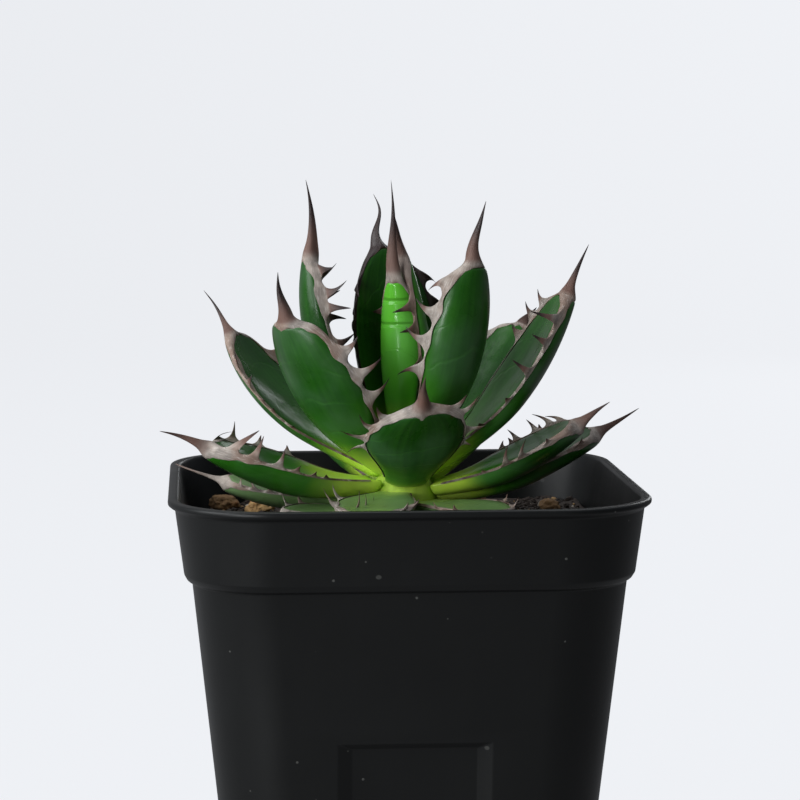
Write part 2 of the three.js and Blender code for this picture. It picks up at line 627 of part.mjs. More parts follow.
// ---- The whole ---------------------------------------------------------------------------------
// Adds the leaves from the youngest outwards, each cut clear of the younger ones, and returns the room
// that the stem and the leaves take.
function addPlant(group) {
  group.add(namedMesh("stem", toSolid(stemGeometry(0)), STEM));
  const plant = LEAVES.map(prepared);
  fitTeeth(plant);
  let taken = toSolid(stemGeometry(CLEARANCE));
  for (const { name, sheet, outline, teeth } of plant) {
    const green = cellSolid(sheet, isGreen, []).subtract(taken);
    const horn = cellSolid(sheet, isHorn, teeth).subtract(taken);
    group.add(namedMesh(`${name}_blade`, largest(green), LEAF_GREEN));
    group.add(namedMesh(`${name}_horn`, largest(horn), HORN));
    taken = taken.add(outline);
  }
  const teeth = plant.flatMap((leaf) => leaf.teeth).map(toothSolid);
  return teeth.reduce((room, tooth) => room.add(tooth), taken);
}

function addGround(group, plantRoom) {
  let ground = soil().subtract(plantRoom);
  STONES.forEach((stone, k) => {
    const solid = toSolid(stoneGeometry(stone, k, 0)).subtract(plantRoom);
    group.add(namedMesh(`stone_${String(k + 1).padStart(2, "0")}`, largest(solid), PUMICE));
    ground = ground.subtract(toSolid(stoneGeometry(stone, k, GAP)));
  });
  group.add(namedMesh("soil", largest(ground), SOIL));
}

function build() {
  const group = new THREE.Group();
  group.add(namedMesh("pot", pot(), PLASTIC));
  addGround(group, addPlant(group));
  return group;
}

export default build();
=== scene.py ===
"""The looks of a potted agave: its pot, soil, pumice stones, stem and leaves, and a plain studio stage.

It is laid out as an add-on and run as a script. Shapes are worked out in millimetres in the frame of the
solids, with the origin at the centre of the pot's underside, and put into the meshes in metres.
"""

import math
from typing import NamedTuple

import bmesh
import bpy
import numpy as np
from bpy.props import FloatProperty, FloatVectorProperty, IntProperty, PointerProperty
from mathutils import Matrix, Vector, noise
from mathutils.bvhtree import BVHTree


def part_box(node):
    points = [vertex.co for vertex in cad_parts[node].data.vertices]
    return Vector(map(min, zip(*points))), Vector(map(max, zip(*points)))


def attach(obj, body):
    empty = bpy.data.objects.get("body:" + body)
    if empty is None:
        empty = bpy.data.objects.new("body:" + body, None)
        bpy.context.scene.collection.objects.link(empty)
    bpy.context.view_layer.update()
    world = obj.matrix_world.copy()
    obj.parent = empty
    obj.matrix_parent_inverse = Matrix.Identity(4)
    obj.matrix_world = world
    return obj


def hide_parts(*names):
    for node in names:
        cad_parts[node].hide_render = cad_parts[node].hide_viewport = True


bl_info = {
    "name": "Potted agave",
    "version": (1, 0, 0),
    "blender": (4, 5, 0),
    "location": "3D Viewport > Sidebar > Agave",
    "description": "Models and finishes a potted agave with its pot, soil and stones",
    "category": "Object",
}

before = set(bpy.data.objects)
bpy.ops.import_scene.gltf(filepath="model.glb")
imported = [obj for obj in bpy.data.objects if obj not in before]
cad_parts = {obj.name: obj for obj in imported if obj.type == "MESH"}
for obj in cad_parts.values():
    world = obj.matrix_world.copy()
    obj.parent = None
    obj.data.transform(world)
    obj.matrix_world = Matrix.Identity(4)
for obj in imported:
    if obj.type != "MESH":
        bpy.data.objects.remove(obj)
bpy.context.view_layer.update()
MM = 0.001
BODY = "root"

# ---- Pot, in millimetres -----------------------------------------------------------------------
POT_LOW, POT_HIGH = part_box("pot")
RIM_WIDTH = (POT_HIGH.x - POT_LOW.x) / MM
POT_HEIGHT = POT_HIGH.z / MM
RIM_CORNER = 19.5
LIP_HEIGHT = 1.4
LIP_OVERHANG = 1.3
LIP_HOLLOW = 0.5  # how far under the lip the collar starts to flare out to it
LIP_OUTLINE = (  # how far in from the rim, how much tighter the corners are, how far under the top
    (0.5, 0.4, LIP_HEIGHT),
    (0, 0, LIP_HEIGHT - 0.4),
    (0, 0, 0.3),
    (0.35, 0.3, 0),
)
MOUTH_ROUND = (0.3, 0.2, 0.4)  # how much wider the mouth is at its top, in its corners too, and how deep
COLLAR_HEIGHT = 15.6
COLLAR_FOOT_HALF = 42.1
COLLAR_FOOT_TIGHTER = 1.5  # how much smaller the corner radius is there
COLLAR_ROUND = 1.6
BODY_TOP_HALF, BODY_TOP_CORNER = 40.6, 15.5
BODY_FOOT_HALF, BODY_FOOT_CORNER = 31.6, 12.0
WALL = 1.3
FLOOR = 1.8
FOOT_ROUND = 1.2
CORNER_STEPS = 20
STEP_HEIGHT = POT_HEIGHT - COLLAR_HEIGHT
PANEL_TOP, PANEL_FOOT = POT_HEIGHT - 44, 8.0
PANEL_HALF, PANEL_SLOPE, PANEL_DEPTH = 14.2, 2.6, 1.5
PANEL_CLEAR = 3.0  # plain wall over and under it
PANEL_INSET = 0.002  # any small step, in metres: its corners are then put in their places
DRAIN_RADIUS, DRAIN_SPREAD, DRAIN_SIDES = 3.5, 18.0, 48
EDGE_ROUND = 0.45
BEVEL_FROM, SMOOTH_TO = 18, 25  # degrees: edges sharper than this are rounded, and flatter ones look smooth

# ---- Ground ------------------------------------------------------------------------------------
GAP = 0.3
SOIL_TOP = POT_HEIGHT - 9.5
SOIL_RINGS = 9
SOIL_CORNER_STEPS = 5
SOIL_WAVE = 0.5  # how far the surface swells and sinks
SOIL_CLOD = 1.5  # how far neighbouring clods stand up and down
SOIL_EDGE = SOIL_TOP - 2 * SOIL_CLOD  # height at which the plain side ends
SOIL_SHUFFLE = 0.04  # how far clods stray from their rings, as a share of the distance
SOIL_RELIEF = ((900, 0.2), (2300, 0.12))  # finer lumps: how close together and how high
GRAIN_SIZE = (0.28, 0.8)
GRAIN_RISE = 0.1  # how far a grain's middle is over the soil, in its size
GRAIN_MARGIN = 1.6  # from the pot's wall
GRAIN_CORNER = 13  # radius of the corners of the ground that they lie on
GRAIN_FROM_STEM = 6.5
GRAIN_ROUGHNESS = 0.5  # how much the corners of a grain stand in and out, in its size
STONES = [  # place from the pot's middle, and radius
    (-27, 19, 3.0),
    (-19, 11, 2.1),
    (-34, 31, 2.9),
    (-8, 34, 3.7),
    (17, 33, 3.2),
    (31.5, 17, 2.3),
    (36, -6, 3.2),
    (25, -31, 3.4),
    (2, -34, 3.0),
    (-27, -22, 3.6),
]
STONE_STRETCH = (1.15, 0.95, 0.72)
STONE_SINK = 0.45  # how deep a stone lies, in its radius
STONE_ROUND = 0.97
STONE_KNOBS = ((1.3, 0.2), (3.1, 0.11), (9, 0.035))  # how close together and how high, in its radius
STONE_FACET = (0.55, 0.45)  # how far out its one flat side begins, and how much that takes off

# ---- Plant: millimetres, degrees, and shares of a length or width ---------------------------------
PLANT_X = 0.5
STEM_OUTLINE = [  # radius, and height over the rim
    (3.5, -25),
    (6.2, -10),
    (7.2, -6.5),
    (6.4, -2),
    (4.0, 2.5),
    (1.6, 6),
]
STEM_SIDES = 24
FIRST_TURN = -95.0  # the way that leaf 1 faces
GOLDEN_TURN = 137.5  # and how far each next leaf is turned from the one before
FIRST_FOOT = 4.6  # height over the rim at which leaf 1 leaves the stem
FOOT_STEP = 0.6  # and how much lower each next leaf does
FOOT_SINK = 0.8
MIDRIB_PULL = 0.36  # how far a midrib keeps its direction from either end, in its length
CURVE_LONGER = 1.06  # how much longer a curved blade is than the straight line
BASE_WIDTH = 0.46  # a blade's width at the stem
WIDEST_AT = 0.64
SHOULDER = 0.7  # how it narrows beyond: the lower this power, the broader its end
FLESH = (0.9, 1.7, 1.2)  # half thickness of the middle: at the stem, halfway and at the end
FULL_FLESH_HALF = 8.0  # half width under which a leaf is thinner too
FLESH_POWERS = (2.2, 0.8)  # how the thickness falls off from the middle to the edge
EDGE = 0.4  # half thickness of the edge
KEEN = 0.4  # how much of it is left at the very margin
KEEN_FROM = 0.75  # and from which share across it thins
LEAST_ROLL = 0.02  # keeps a flat section's bow from being endless
SKEW_FROM = 0.2  # where along the blade one margin begins to run ahead
RUNS_APART = 17.0  # keeps the streaks of neighbouring leaves from being alike
FLARE_POWER = 16  # how soon the flare of the spine's cap is gone
SPINE_POWER = 1.1  # how straight the spine then tapers
SPINE_TIP = 0.1
TWIST_DONE = 0.5  # where along the blade it has turned all the way
CREASES = (0.775, 0.91)  # where teeth have pressed into the youngest leaf


class Leaf(NamedTuple):
    """A leaf's own measures, in the order from its place to its teeth."""

    lean: float  # degrees away from its place in the spiral
    end: tuple  # where the green ends: distance from the stem's axis, height over the rim
    tip: tuple  # where the terminal spine ends
    start: float  # angle over the horizon at which the midrib leaves the stem
    finish: float  # and at which it enters the spine
    half: float  # half of the blade's width along its curve
    roll: float  # degrees that this half curls through
    sway: float  # sideways wave of the spine
    twist: float = 0.0  # degrees that the blade has turned about its midrib, so that one margin hangs
    skew: float = 0.0  # how far one margin runs ahead of the other, in the half width
    neck: float = 0.5  # width where the spine's cap begins, as a share of the widest
    flare: float = 0.79  # share of the cap's width that is gone soon after its start
    vee: float = 0.05  # how far the horn reaches down the midrib, as a share of the blade
    band: tuple = (0.12, 1.4)  # width of the horny edge, low on the blade and near its end
    outer: float = 0.3  # its width low on the outer face, as a share of that on the inner one
    youth: float = 0.0
    bleach: float = 0.0
    dark: tuple = (0.0, 0.0)  # how far the edge and the teeth have browned
    greener: float = 0.0  # how much closer to the stem the deep green reaches, as a share of the blade
    belly: float = 1.35  # thickness of the outer half against the inner one
    teeth: tuple = None  # (side, share of the blade, length, hook along the margin, lift over the face)


LEAVES = [
    Leaf(-137.5, (0.9, 26), (0.2, 35), 86, 95, 3.0, 75, 0.2, youth=0.8, teeth=()),
    Leaf(-22, (3.8, 38.2), (6.0, 58.3), 86, 84, 5.0, 75, -0.4, neck=0.33, flare=0.35, vee=0.02, youth=1.0,
         teeth=((-1, 0.9, 0.8, -0.3, 0.3), (-1, 0.72, 1.0, -0.2, 0.4), (1, 0.6, 1.0, 0.2, 0.4))),
    Leaf(-10, (-0.5, 42.5), (-2.6, 52.8), 74, 106, 6.0, 66, 0.3, neck=0.34, flare=0.5, band=(0.6, 1.0),
         youth=0.35, dark=(0.22, 0.2),
         teeth=((-1, 0.81, 3.8, 0.0, 0.5), (-1, 0.69, 3.2, 0.0, 0.5), (-1, 0.5, 2.6, -0.3, 0.4),
                (1, 0.75, 2.4, 0.2, 0.4), (1, 0.55, 2.4, -0.2, 0.4))),
    Leaf(0, (17.9, 42), (18.8, 58.2), 48, 98, 7.0, 54, 0.5, neck=0.42, flare=0.72, band=(0.5, 1.0),
         outer=0.8, dark=(0.14, 0.5),
         teeth=((1, 0.97, 2.6, 0.3, 0.3), (1, 0.88, 4.2, 0.6, 0.3), (1, 0.79, 4.2, -0.1, 0.3),
                (1, 0.62, 3.8, 0.3, 0.3), (-1, 0.93, 3.2, 0.8, 0.3), (-1, 0.84, 3.4, 0.3, 0.3),
                (-1, 0.72, 3.6, -0.3, 0.3), (-1, 0.58, 3.0, 0.2, 0.3))),
    Leaf(-2, (17.4, 41.5), (20.5, 54.5), 56, 92, 8.6, 50, -0.8, neck=0.44, flare=0.74, vee=0.0,
         band=(0.5, 1.1), outer=1.0,
         teeth=((-1, 0.93, 3.2, -0.6, 0.5), (-1, 0.8, 3.4, 0.6, 0.4), (-1, 0.66, 3.9, 0.4, 0.4),
                (-1, 0.5, 3.6, -0.8, 0.4), (1, 0.86, 2.6, 0.4, 0.3),
                (1, 0.7, 2.4, 0.2, 0.3), (1, 0.54, 2.2, -0.2, 0.3))),
    Leaf(15, (10.0, 44), (14.5, 55.0), 74, 80, 9.6, 50, 1.2, neck=0.24, flare=0.66, vee=0.0, band=(0.1, 0.3),
         dark=(0.8, 0.8)),
    Leaf(-16, (28.5, 31.3), (30.8, 41.5), 32, 72, 11.2, 44, 0.6, flare=0.81, vee=0.1, band=(0.9, 1.5),
         outer=1.0,
         teeth=((1, 0.85, 3.2, 0.5, 0.3), (1, 0.68, 4.6, 0.2, 0.3), (1, 0.52, 4.4, 0.3, 0.3),
                (1, 0.34, 3.0, -0.3, 0.3), (-1, 0.55, 1.0, 0.2, 0.2), (-1, 0.35, 1.0, -0.2, 0.2))),
    Leaf(-12, (31.5, 35), (36.1, 45.6), 33, 70, 8.7, 36, 0.3, twist=-13, neck=0.4, flare=0.82, vee=0.0,
         band=(0.1, 0.75),
         teeth=((1, 0.95, 2.4, 0.9, 0.2), (1, 0.86, 2.8, 0.7, 0.2), (1, 0.76, 2.6, 0.5, 0.2),
                (-1, 0.9, 4.6, -0.1, 0.9), (-1, 0.81, 2.8, 0.1, 0.9),
                (-1, 0.66, 3.6, 0.1, 0.9), (-1, 0.48, 1.2, 0.0, 0.4), (-1, 0.34, 1.0, 0.0, 0.4))),
    Leaf(17, (34.2, 26.8), (40, 36.2), 26, 66, 8.6, 33, 0.6, twist=14, neck=0.42, flare=0.84, vee=0.02,
         belly=0.6, band=(0.1, 1.0),
         teeth=((-1, 0.85, 3.8, 0.5, 0.2), (-1, 0.6, 2.4, 0.2, 0.2), (1, 0.86, 4.4, 0.7, 0.2),
                (1, 0.76, 2.4, 0.3, 0.6), (1, 0.66, 1.2, -0.2, 0.4), (1, 0.56, 1.4, 0.3, 0.4),
                (1, 0.46, 0.8, 0.0, 0.4))),
    Leaf(-10, (20.5, 15.5), (26, 22.5), 36, 50, 9.8, 12, 0.2, skew=0.2, neck=0.4, flare=0.6, vee=0.16,
         band=(0.4, 1.2), outer=0.9, bleach=0.4, greener=0.2,
         teeth=((-1, 0.94, 2.1, 1.7, -0.4), (-1, 0.82, 2.9, 1.6, -0.5), (-1, 0.68, 4.4, 0.8, -0.5),
                (-1, 0.52, 2.8, -0.4, -0.4), (1, 0.96, 2.2, 1.7, -0.3), (1, 0.86, 3.0, 1.7, -0.3),
                (1, 0.66, 3.0, 0.4, -0.3), (1, 0.48, 1.8, -0.3, -0.3))),
    Leaf(-24, (32.5, 27.5), (37, 31.6), 22, 58, 9.0, 48, 0.5, band=(0.2, 1.0)),
    Leaf(-6, (38.4, 7.0), (48.6, 11), 0, 32, 9.2, 47, 0.3, twist=8, neck=0.36, flare=0.8,
         band=(0.1, 1.2), bleach=0.4, greener=-0.16,
         teeth=((1, 0.93, 4.6, -0.55, 0.8), (1, 0.83, 4.0, 0.1, 0.6), (1, 0.7, 3.4, 0.1, 0.5),
                (1, 0.58, 1.6, -0.3, 0.3), (1, 0.46, 1.2, -0.3, 0.3), (1, 0.36, 0.8, 0.0, 0.3),
                (-1, 0.97, 3.0, -0.8, 0.4), (-1, 0.88, 3.0, 0.3, 0.4), (-1, 0.7, 1.8, 0.0, 0.3),
                (-1, 0.5, 1.6, 0.2, 0.3))),
    Leaf(14, (33.2, 10.2), (40.2, 15.3), 11, 40, 9.2, 30, -0.3, twist=-5, neck=0.4, flare=0.8,
         band=(0.1, 0.9), bleach=0.4, greener=-0.06,
         teeth=((-1, 0.53, 5.0, 0.4, 0.3), (-1, 0.65, 4.2, 0.6, 0.3), (-1, 0.83, 1.2, 0.2, 0.3),
                (-1, 0.38, 1.0, -0.2, 0.3), (1, 0.95, 3.0, -0.7, 0.3), (1, 0.88, 4.2, -0.5, 0.3),
                (1, 0.77, 3.2, -0.2, 0.3), (1, 0.62, 3.0, -0.3, 0.3), (1, 0.48, 1.6, 0.5, 0.3))),
    Leaf(0, (33, 13), (40, 20), 16, 46, 9.0, 44, 0.5),
    Leaf(-2, (27, -4.6), (36.5, -2.6), 2, 10, 8.2, 36, 0.4, bleach=1.0, band=(0.2, 1.0),
         teeth=((-1, 0.9, 2.6, 0.5, 0.5), (-1, 0.72, 3.0, 0.3, 0.5), (-1, 0.52, 2.6, -0.2, 0.5),
                (1, 0.88, 1.8, 0.4, 0.4), (1, 0.7, 1.6, 0.2, 0.4))),
    Leaf(-18, (39, 7), (49.2, 12.3), 5, 26, 8.4, 40, 0.2, twist=-8, neck=0.42, flare=0.82,
         band=(0.1, 0.9), bleach=0.4,
         teeth=((1, 0.8, 1.6, 0.2, 0.3), (1, 0.6, 1.4, -0.2, 0.3), (-1, 0.86, 1.8, 0.4, 0.3),
                (-1, 0.68, 1.4, 0.0, 0.3), (-1, 0.5, 1.0, -0.2, 0.3))),
    Leaf(-2, (35, -1.7), (46, 1.8), 0, 16, 7.6, 36, -0.2, twist=8, neck=0.27, flare=0.84, bleach=1.0,
         band=(0.15, 0.5)),
    Leaf(0, (28, -4.8), (37, -3), 2, 9, 8.0, 34, 0.3, bleach=1.0, band=(0.15, 0.6),
         teeth=((1, 0.9, 1.6, 0.3, 0.5), (1, 0.7, 1.4, 0.0, 0.5), (-1, 0.84, 1.4, 0.3, 0.4),
                (-1, 0.6, 1.2, -0.2, 0.4))),
    Leaf(0, (31, 0.5), (39.5, 4.5), 6, 26, 8.2, 38, 0.4, bleach=0.6),
    Leaf(0, (29, -5), (38.5, -3), 1, 10, 7.6, 34, 0.2, bleach=1.0, band=(0.2, 0.8),
         teeth=((1, 0.6, 3.6, 0.2, 0.7), (1, 0.48, 3.4, 0.3, 0.7), (1, 0.36, 2.6, 0.0, 0.7),
                (-1, 0.8, 2.0, 0.3, 0.5), (-1, 0.6, 2.0, 0.0, 0.5))),
]


def srgb(text):
    """A colour as Blender's linear numbers, from six hexadecimal digits."""
    shares = [int(text[i : i + 2], 16) / 255 for i in (0, 2, 4)]
    return tuple(s / 12.92 if s <= 0.04045 else ((s + 0.055) / 1.055) ** 2.4 for s in shares)


def shaded(colour, factor):
    """A darker or brighter shade of a colour."""
    return tuple(c * factor for c in colour)


def colour_property(name, description, text):
    """A colour that the user can change, with its default as six hexadecimal digits."""
    return FloatVectorProperty(
        name=name, description=description, subtype="COLOR", size=3, min=0, max=1, default=srgb(text)
    )


class PotLook(bpy.types.PropertyGroup):
    """Sizes and colours of the pot."""

    edge_round: FloatProperty(
        name="Edge rounding", description="Radius on the moulded edges", default=EDGE_ROUND * MM,
        subtype="DISTANCE", unit="LENGTH",
    )
    plastic: colour_property("Plastic", "Colour of the moulded plastic", "0a0b0b")
    dust: colour_property("Dust", "Colour of the dust specks", "a8a8a2")


class GroundLook(bpy.types.PropertyGroup):
    """Soil and stones."""

    grains: IntProperty(name="Grains", description="Number of loose grains on the soil", default=3600, min=0)
    soil: colour_property("Soil", "Colour of the moist soil", "2a1f18")
    pumice: colour_property("Pumice", "Colour of the pumice stones", "c9a06a")


class LeafLook(bpy.types.PropertyGroup):
    """Colours of the leaves and their horny parts."""

    deep: colour_property("Deep green", "Green of grown leaves", "123f09")
    bright: colour_property("Bright green", "Green of young leaves", "52a42c")
    base: colour_property("Base", "Yellow green at the foot of each leaf", "c4e44c")
    horn: colour_property("Horn", "Grey beige of the horny edge", "aca096")
    spine: colour_property("Spine", "Brown black of points and teeth", "2a1d1b")
    tooth_scale: FloatProperty(
        name="Tooth scale", description="Length of all teeth against the modelled ones", default=1.0,
        min=0.2, max=2,
    )


class StageLook(bpy.types.PropertyGroup):
    """Floor, lights and camera."""

    floor: colour_property("Floor", "Colour of the sweep under and behind the pot", "eceef2")
    key: FloatProperty(name="Key light", description="Power of the window light", default=11.0, unit="POWER")
    sky: FloatProperty(name="Sky", description="Light from above and behind", default=0.34, min=0)
    front: FloatProperty(name="Front", description="Light from the viewer's side", default=0.08, min=0)


# ---- Small tools -------------------------------------------------------------------------------
def lerp(a, b, share):
    """The value at a share of the way between two."""
    return a + (b - a) * share


def smooth(low, high, x):
    """0 below one value and 1 above another, with a smooth rise between."""
    share = min(max((x - low) / (high - low), 0.0), 1.0)
    return share * share * (3 - 2 * share)


def draw(a, b):
    """A repeatable draw between 0 and 1 for each pair of numbers, which the large factors scramble."""
    wave = math.sin(a * 127.1 + b * 311.7) * 43758.5453
    return wave - math.floor(wave)


def pick_alone(piece):
    """Selects this piece and nothing else, in object mode."""
    if bpy.context.object and bpy.context.object.mode == "EDIT":
        bpy.ops.object.mode_set(mode="OBJECT")
    bpy.ops.object.select_all(action="DESELECT")
    piece.select_set(True)
    bpy.context.view_layer.objects.active = piece


def edit(piece, pick=None):
    """Goes into edit mode on a piece and returns its mesh, with nothing selected where some is to be."""
    pick_alone(piece)
    bpy.ops.object.mode_set(mode="EDIT")
    if pick:
        bpy.ops.mesh.select_mode(type=pick)
        bpy.ops.mesh.select_all(action="DESELECT")
    return bmesh.from_edit_mesh(piece.data)


def leave(outwards=False):
    """Goes back to object mode. The faces of a new shape are turned outwards first."""
    if outwards:
        bpy.ops.mesh.select_all(action="SELECT")
        bpy.ops.mesh.normals_make_consistent(inside=False)
    bpy.ops.object.mode_set(mode="OBJECT")


def finished(piece, *modifiers, smooth_angle=None):
    """Adds each modifier with its settings, applies it, and shades the piece smooth."""
    pick_alone(piece)
    for kind, settings in modifiers:
        added = piece.modifiers.new(kind.title(), kind)
        for key, value in settings.items():
            setattr(added, key, value)
        bpy.ops.object.modifier_apply(modifier=added.name)
    if smooth_angle is None:
        bpy.ops.object.shade_smooth()
    else:
        bpy.ops.object.shade_smooth_by_angle(angle=math.radians(smooth_angle))
    return piece


def subdivided(levels, kind="CATMULL_CLARK"):
    """The modifier that divides a piece, for finished."""
    return "SUBSURF", {"subdivision_type": kind, "levels": levels, "render_levels": levels}


def dressed(piece, material, slot, *nodes):
    """Gives a piece its material and its place on the body, and hides the nodes it stands for."""
    piece.data.materials.clear()
    piece.data.materials.append(material)
    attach(piece, BODY)
    if nodes:
        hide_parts(*nodes)
    return piece


# ---- Materials ---------------------------------------------------------------------------------
PALE_GRAIN = "b8afa0"
STONE_RUST, STONE_SOIL, STONE_PORE = "b5651f", "5b4028", "4b3524"
STEM_FIBRE = "8fae34"
# The third colour is a painted grey blue sheen on the leaves' outer face, over their waxy bloom.
LEAF_WORN, LEAF_SPOT, LEAF_BLOOM_SHEEN = "7d9a62", "4a2c14", "93a79c"
HORN_PATCH, HORN_PALE, HORN_RIPENING = "7d5c4a", "d6cec6", "64463c"
HORN_LOW, HORN_BORDER = "4a2f22", "4d382c"


class Flow:
    """A number or vector on its way between nodes. An expression on it adds the Math nodes."""

    def __init__(self, finish, socket):
        self.finish, self.socket = finish, socket

    def _math(self, operation, *values):
        return self.finish.node("ShaderNodeMath", {"operation": operation}, dict(enumerate(values)))

    def __add__(self, other):
        return self._math("ADD", self, other)

    def __sub__(self, other):
        return self._math("SUBTRACT", self, other)

    def __rsub__(self, other):
        return self._math("SUBTRACT", other, self)

    def __mul__(self, other):
        return self._math("MULTIPLY", self, other)

    __radd__ = __add__
    __rmul__ = __mul__


class Nodes:
    """Makes nodes in a tree."""

    def __init__(self, tree):
        self.tree = tree

    def node(self, kind, settings=None, values=None, out=0):
        """Adds a node: its settings first, then the values or links of its sockets. Returns one output."""
        made = self.tree.nodes.new(kind)
        for key, value in (settings or {}).items():
            setattr(made, key, value)
        for key, value in (values or {}).items():
            if isinstance(value, Flow):
                self.tree.links.new(value.socket, made.inputs[key])
            elif made.inputs[key].type == "RGBA" and len(value) == 3:
                made.inputs[key].default_value = (*value, 1.0)
            else:
                made.inputs[key].default_value = value
        return Flow(self, made.outputs[out])

    def attribute(self, name, out="Fac"):
        return self.node("ShaderNodeAttribute", {"attribute_name": name}, out=out)

    def parts(self, vector):
        """The three numbers of a vector."""
        made = self.node("ShaderNodeSeparateXYZ", values={0: vector})
        return [Flow(self, socket) for socket in made.socket.node.outputs]

    def place(self):
        """The place on the piece."""
        return self.node("ShaderNodeTexCoord", out="Object")

    def stretched(self, vector, scale):
        return self.node("ShaderNodeMapping", values={"Vector": vector, "Scale": scale})

    def noise(self, vector, scale, detail, roughness=0.5):
        """A cloudy pattern: how fine it is, how many finer layers it has, and how much they show."""
        values = {"Vector": vector, "Scale": scale, "Detail": detail, "Roughness": roughness}
        return self.node("ShaderNodeTexNoise", values=values)

    def ranged(self, value, low, high, to_low=0.0, to_high=1.0):
        """A smooth step from one value to another."""
        values = {"Value": value, 1: low, 2: high, 3: to_low, 4: to_high}
        return self.node("ShaderNodeMapRange", {"interpolation_type": "SMOOTHSTEP"}, values)

    def mixed(self, share, a, b):
        """A colour between two."""
        settings = {"data_type": "RGBA", "clamp_factor": True}
        return self.node("ShaderNodeMix", settings, {0: share, 6: a, 7: b}, out=2)

    def cells(self, vector, scale):
        """How far a place is from the middle of its cell, in a pattern of cells."""
        return self.node("ShaderNodeTexVoronoi", values={"Vector": vector, "Scale": scale}, out="Distance")

    def specks(self, vector, scale, share, radius):
        """1 on small dots in a share of the cells of a pattern, 0 elsewhere."""
        near = self.cells(vector, scale)
        lot = Flow(self, near.socket.node.outputs["Color"])
        chosen = self.ranged(self.parts(lot)[0], 1 - share, 1 - share + 0.02)
        return self.ranged(near, radius, radius * 0.6) * chosen

    def nearest(self, value, marks):
        """How far a value is from the nearest of some marks."""
        gaps = [self.node("ShaderNodeMath", {"operation": "ABSOLUTE"}, {0: value - mark}) for mark in marks]
        least = gaps[0]
        for gap in gaps[1:]:
            least = self.node("ShaderNodeMath", {"operation": "MINIMUM"}, {0: least, 1: gap})
        return least

    def bump(self, height, strength, distance, normal=None):
        """Relief that only shows in the light, on top of an earlier one."""
        values = {"Height": height, "Strength": strength, "Distance": distance}
        if normal:
            values["Normal"] = normal
        return self.node("ShaderNodeBump", values=values)


class Finish(Nodes):
    """A material in the making."""

    def __init__(self, name, **constants):
        self.material = bpy.data.materials.new(name)
        self.material.use_nodes = True
        super().__init__(self.material.node_tree)
        self.surface = next(n for n in self.tree.nodes if n.type == "BSDF_PRINCIPLED")
        for key, value in constants.items():
            self.surface.inputs[key.replace("_", " ")].default_value = value

    def finish(self, **links):
        """Links what changes over the surface, and returns the material."""
        for key, value in links.items():
            self.tree.links.new(value.socket, self.surface.inputs[key.replace("_", " ")])
        return self.material


def plastic_material(look):
    """Black moulded plastic with faint streaks down the wall and specks of dust."""
    f = Finish("pot_plastic", IOR=1.5, Specular_IOR_Level=0.3)
    place = f.place()
    cloud = f.noise(place, 38, 4)
    fine = f.noise(place, 900, 3)
    streak = f.noise(f.stretched(place, (240, 240, 14)), 1.0, 3)
    tint = f.mixed(cloud, shaded(look.plastic, 0.7), shaded(look.plastic, 1.3))
    dots = f.specks(place, 330, 0.2, 0.1)
    faint = f.specks(f.stretched(place, (1.0, 1.0, 1.3)), 150, 0.12, 0.1)
    tint = f.mixed(dots * 0.16 + faint * 0.1, tint, look.dust)
    rough = 0.3 + cloud * 0.12 + streak * 0.08
    swell = f.bump(f.noise(place, 60, 2), 0.08, 0.001)
    return f.finish(Base_Color=tint, Roughness=rough, Normal=f.bump(fine, 0.05, 0.0002, swell))


def soil_material(look):
    """Moist dark soil. Some of its loose grains are of pumice, and a few are pale."""
    f = Finish("moist_soil")
    place = f.place()
    lot = f.attribute("tint")
    rough = f.noise(place, 700, 4)
    tint = f.mixed(f.noise(place, 180, 4), shaded(look.soil, 0.5), shaded(look.soil, 1.7))
    tint = f.mixed(f.ranged(lot, 0.9, 0.93), tint, shaded(look.pumice, 0.55))
    tint = f.mixed(f.ranged(lot, 0.975, 0.98), tint, srgb(PALE_GRAIN))
    return f.finish(Base_Color=tint, Roughness=0.7 + rough * 0.3, Normal=f.bump(rough, 0.5, 0.0006))


def pumice_material(look):
    """Porous tan stone with rust on it. Some stones are browner with soil."""
    f = Finish("pumice")
    place = f.place()
    pores = f.cells(place, 900)
    coarse = f.noise(place, 260, 5)
    lot = f.attribute("tint")
    tint = f.mixed(coarse, shaded(look.pumice, 0.62), look.pumice)
    tint = f.mixed(f.ranged(coarse, 0.56, 0.7) * 0.7, tint, srgb(STONE_RUST))
    tint = f.mixed(f.ranged(lot, 0.25, 0.6) * 0.75, tint, srgb(STONE_SOIL))
    tint = f.mixed(f.ranged(pores, 0.3, 0.05) * 0.5, tint, srgb(STONE_PORE))
    height = coarse * 0.6 + pores * 0.5
    return f.finish(Base_Color=tint, Roughness=0.8 + coarse * 0.2, Normal=f.bump(height, 0.6, 0.0008))


def stem_material(look):
    """Pale green with upright fibres."""
    f = Finish("stem")
    place = f.place()
    fibre = f.noise(f.stretched(place, (900, 900, 90)), 1.0, 4)
    tint = f.mixed(fibre, look.base, srgb(STEM_FIBRE))
    return f.finish(Base_Color=tint, Roughness=0.6 + fibre * 0.2, Normal=f.bump(fibre, 0.3, 0.0004))


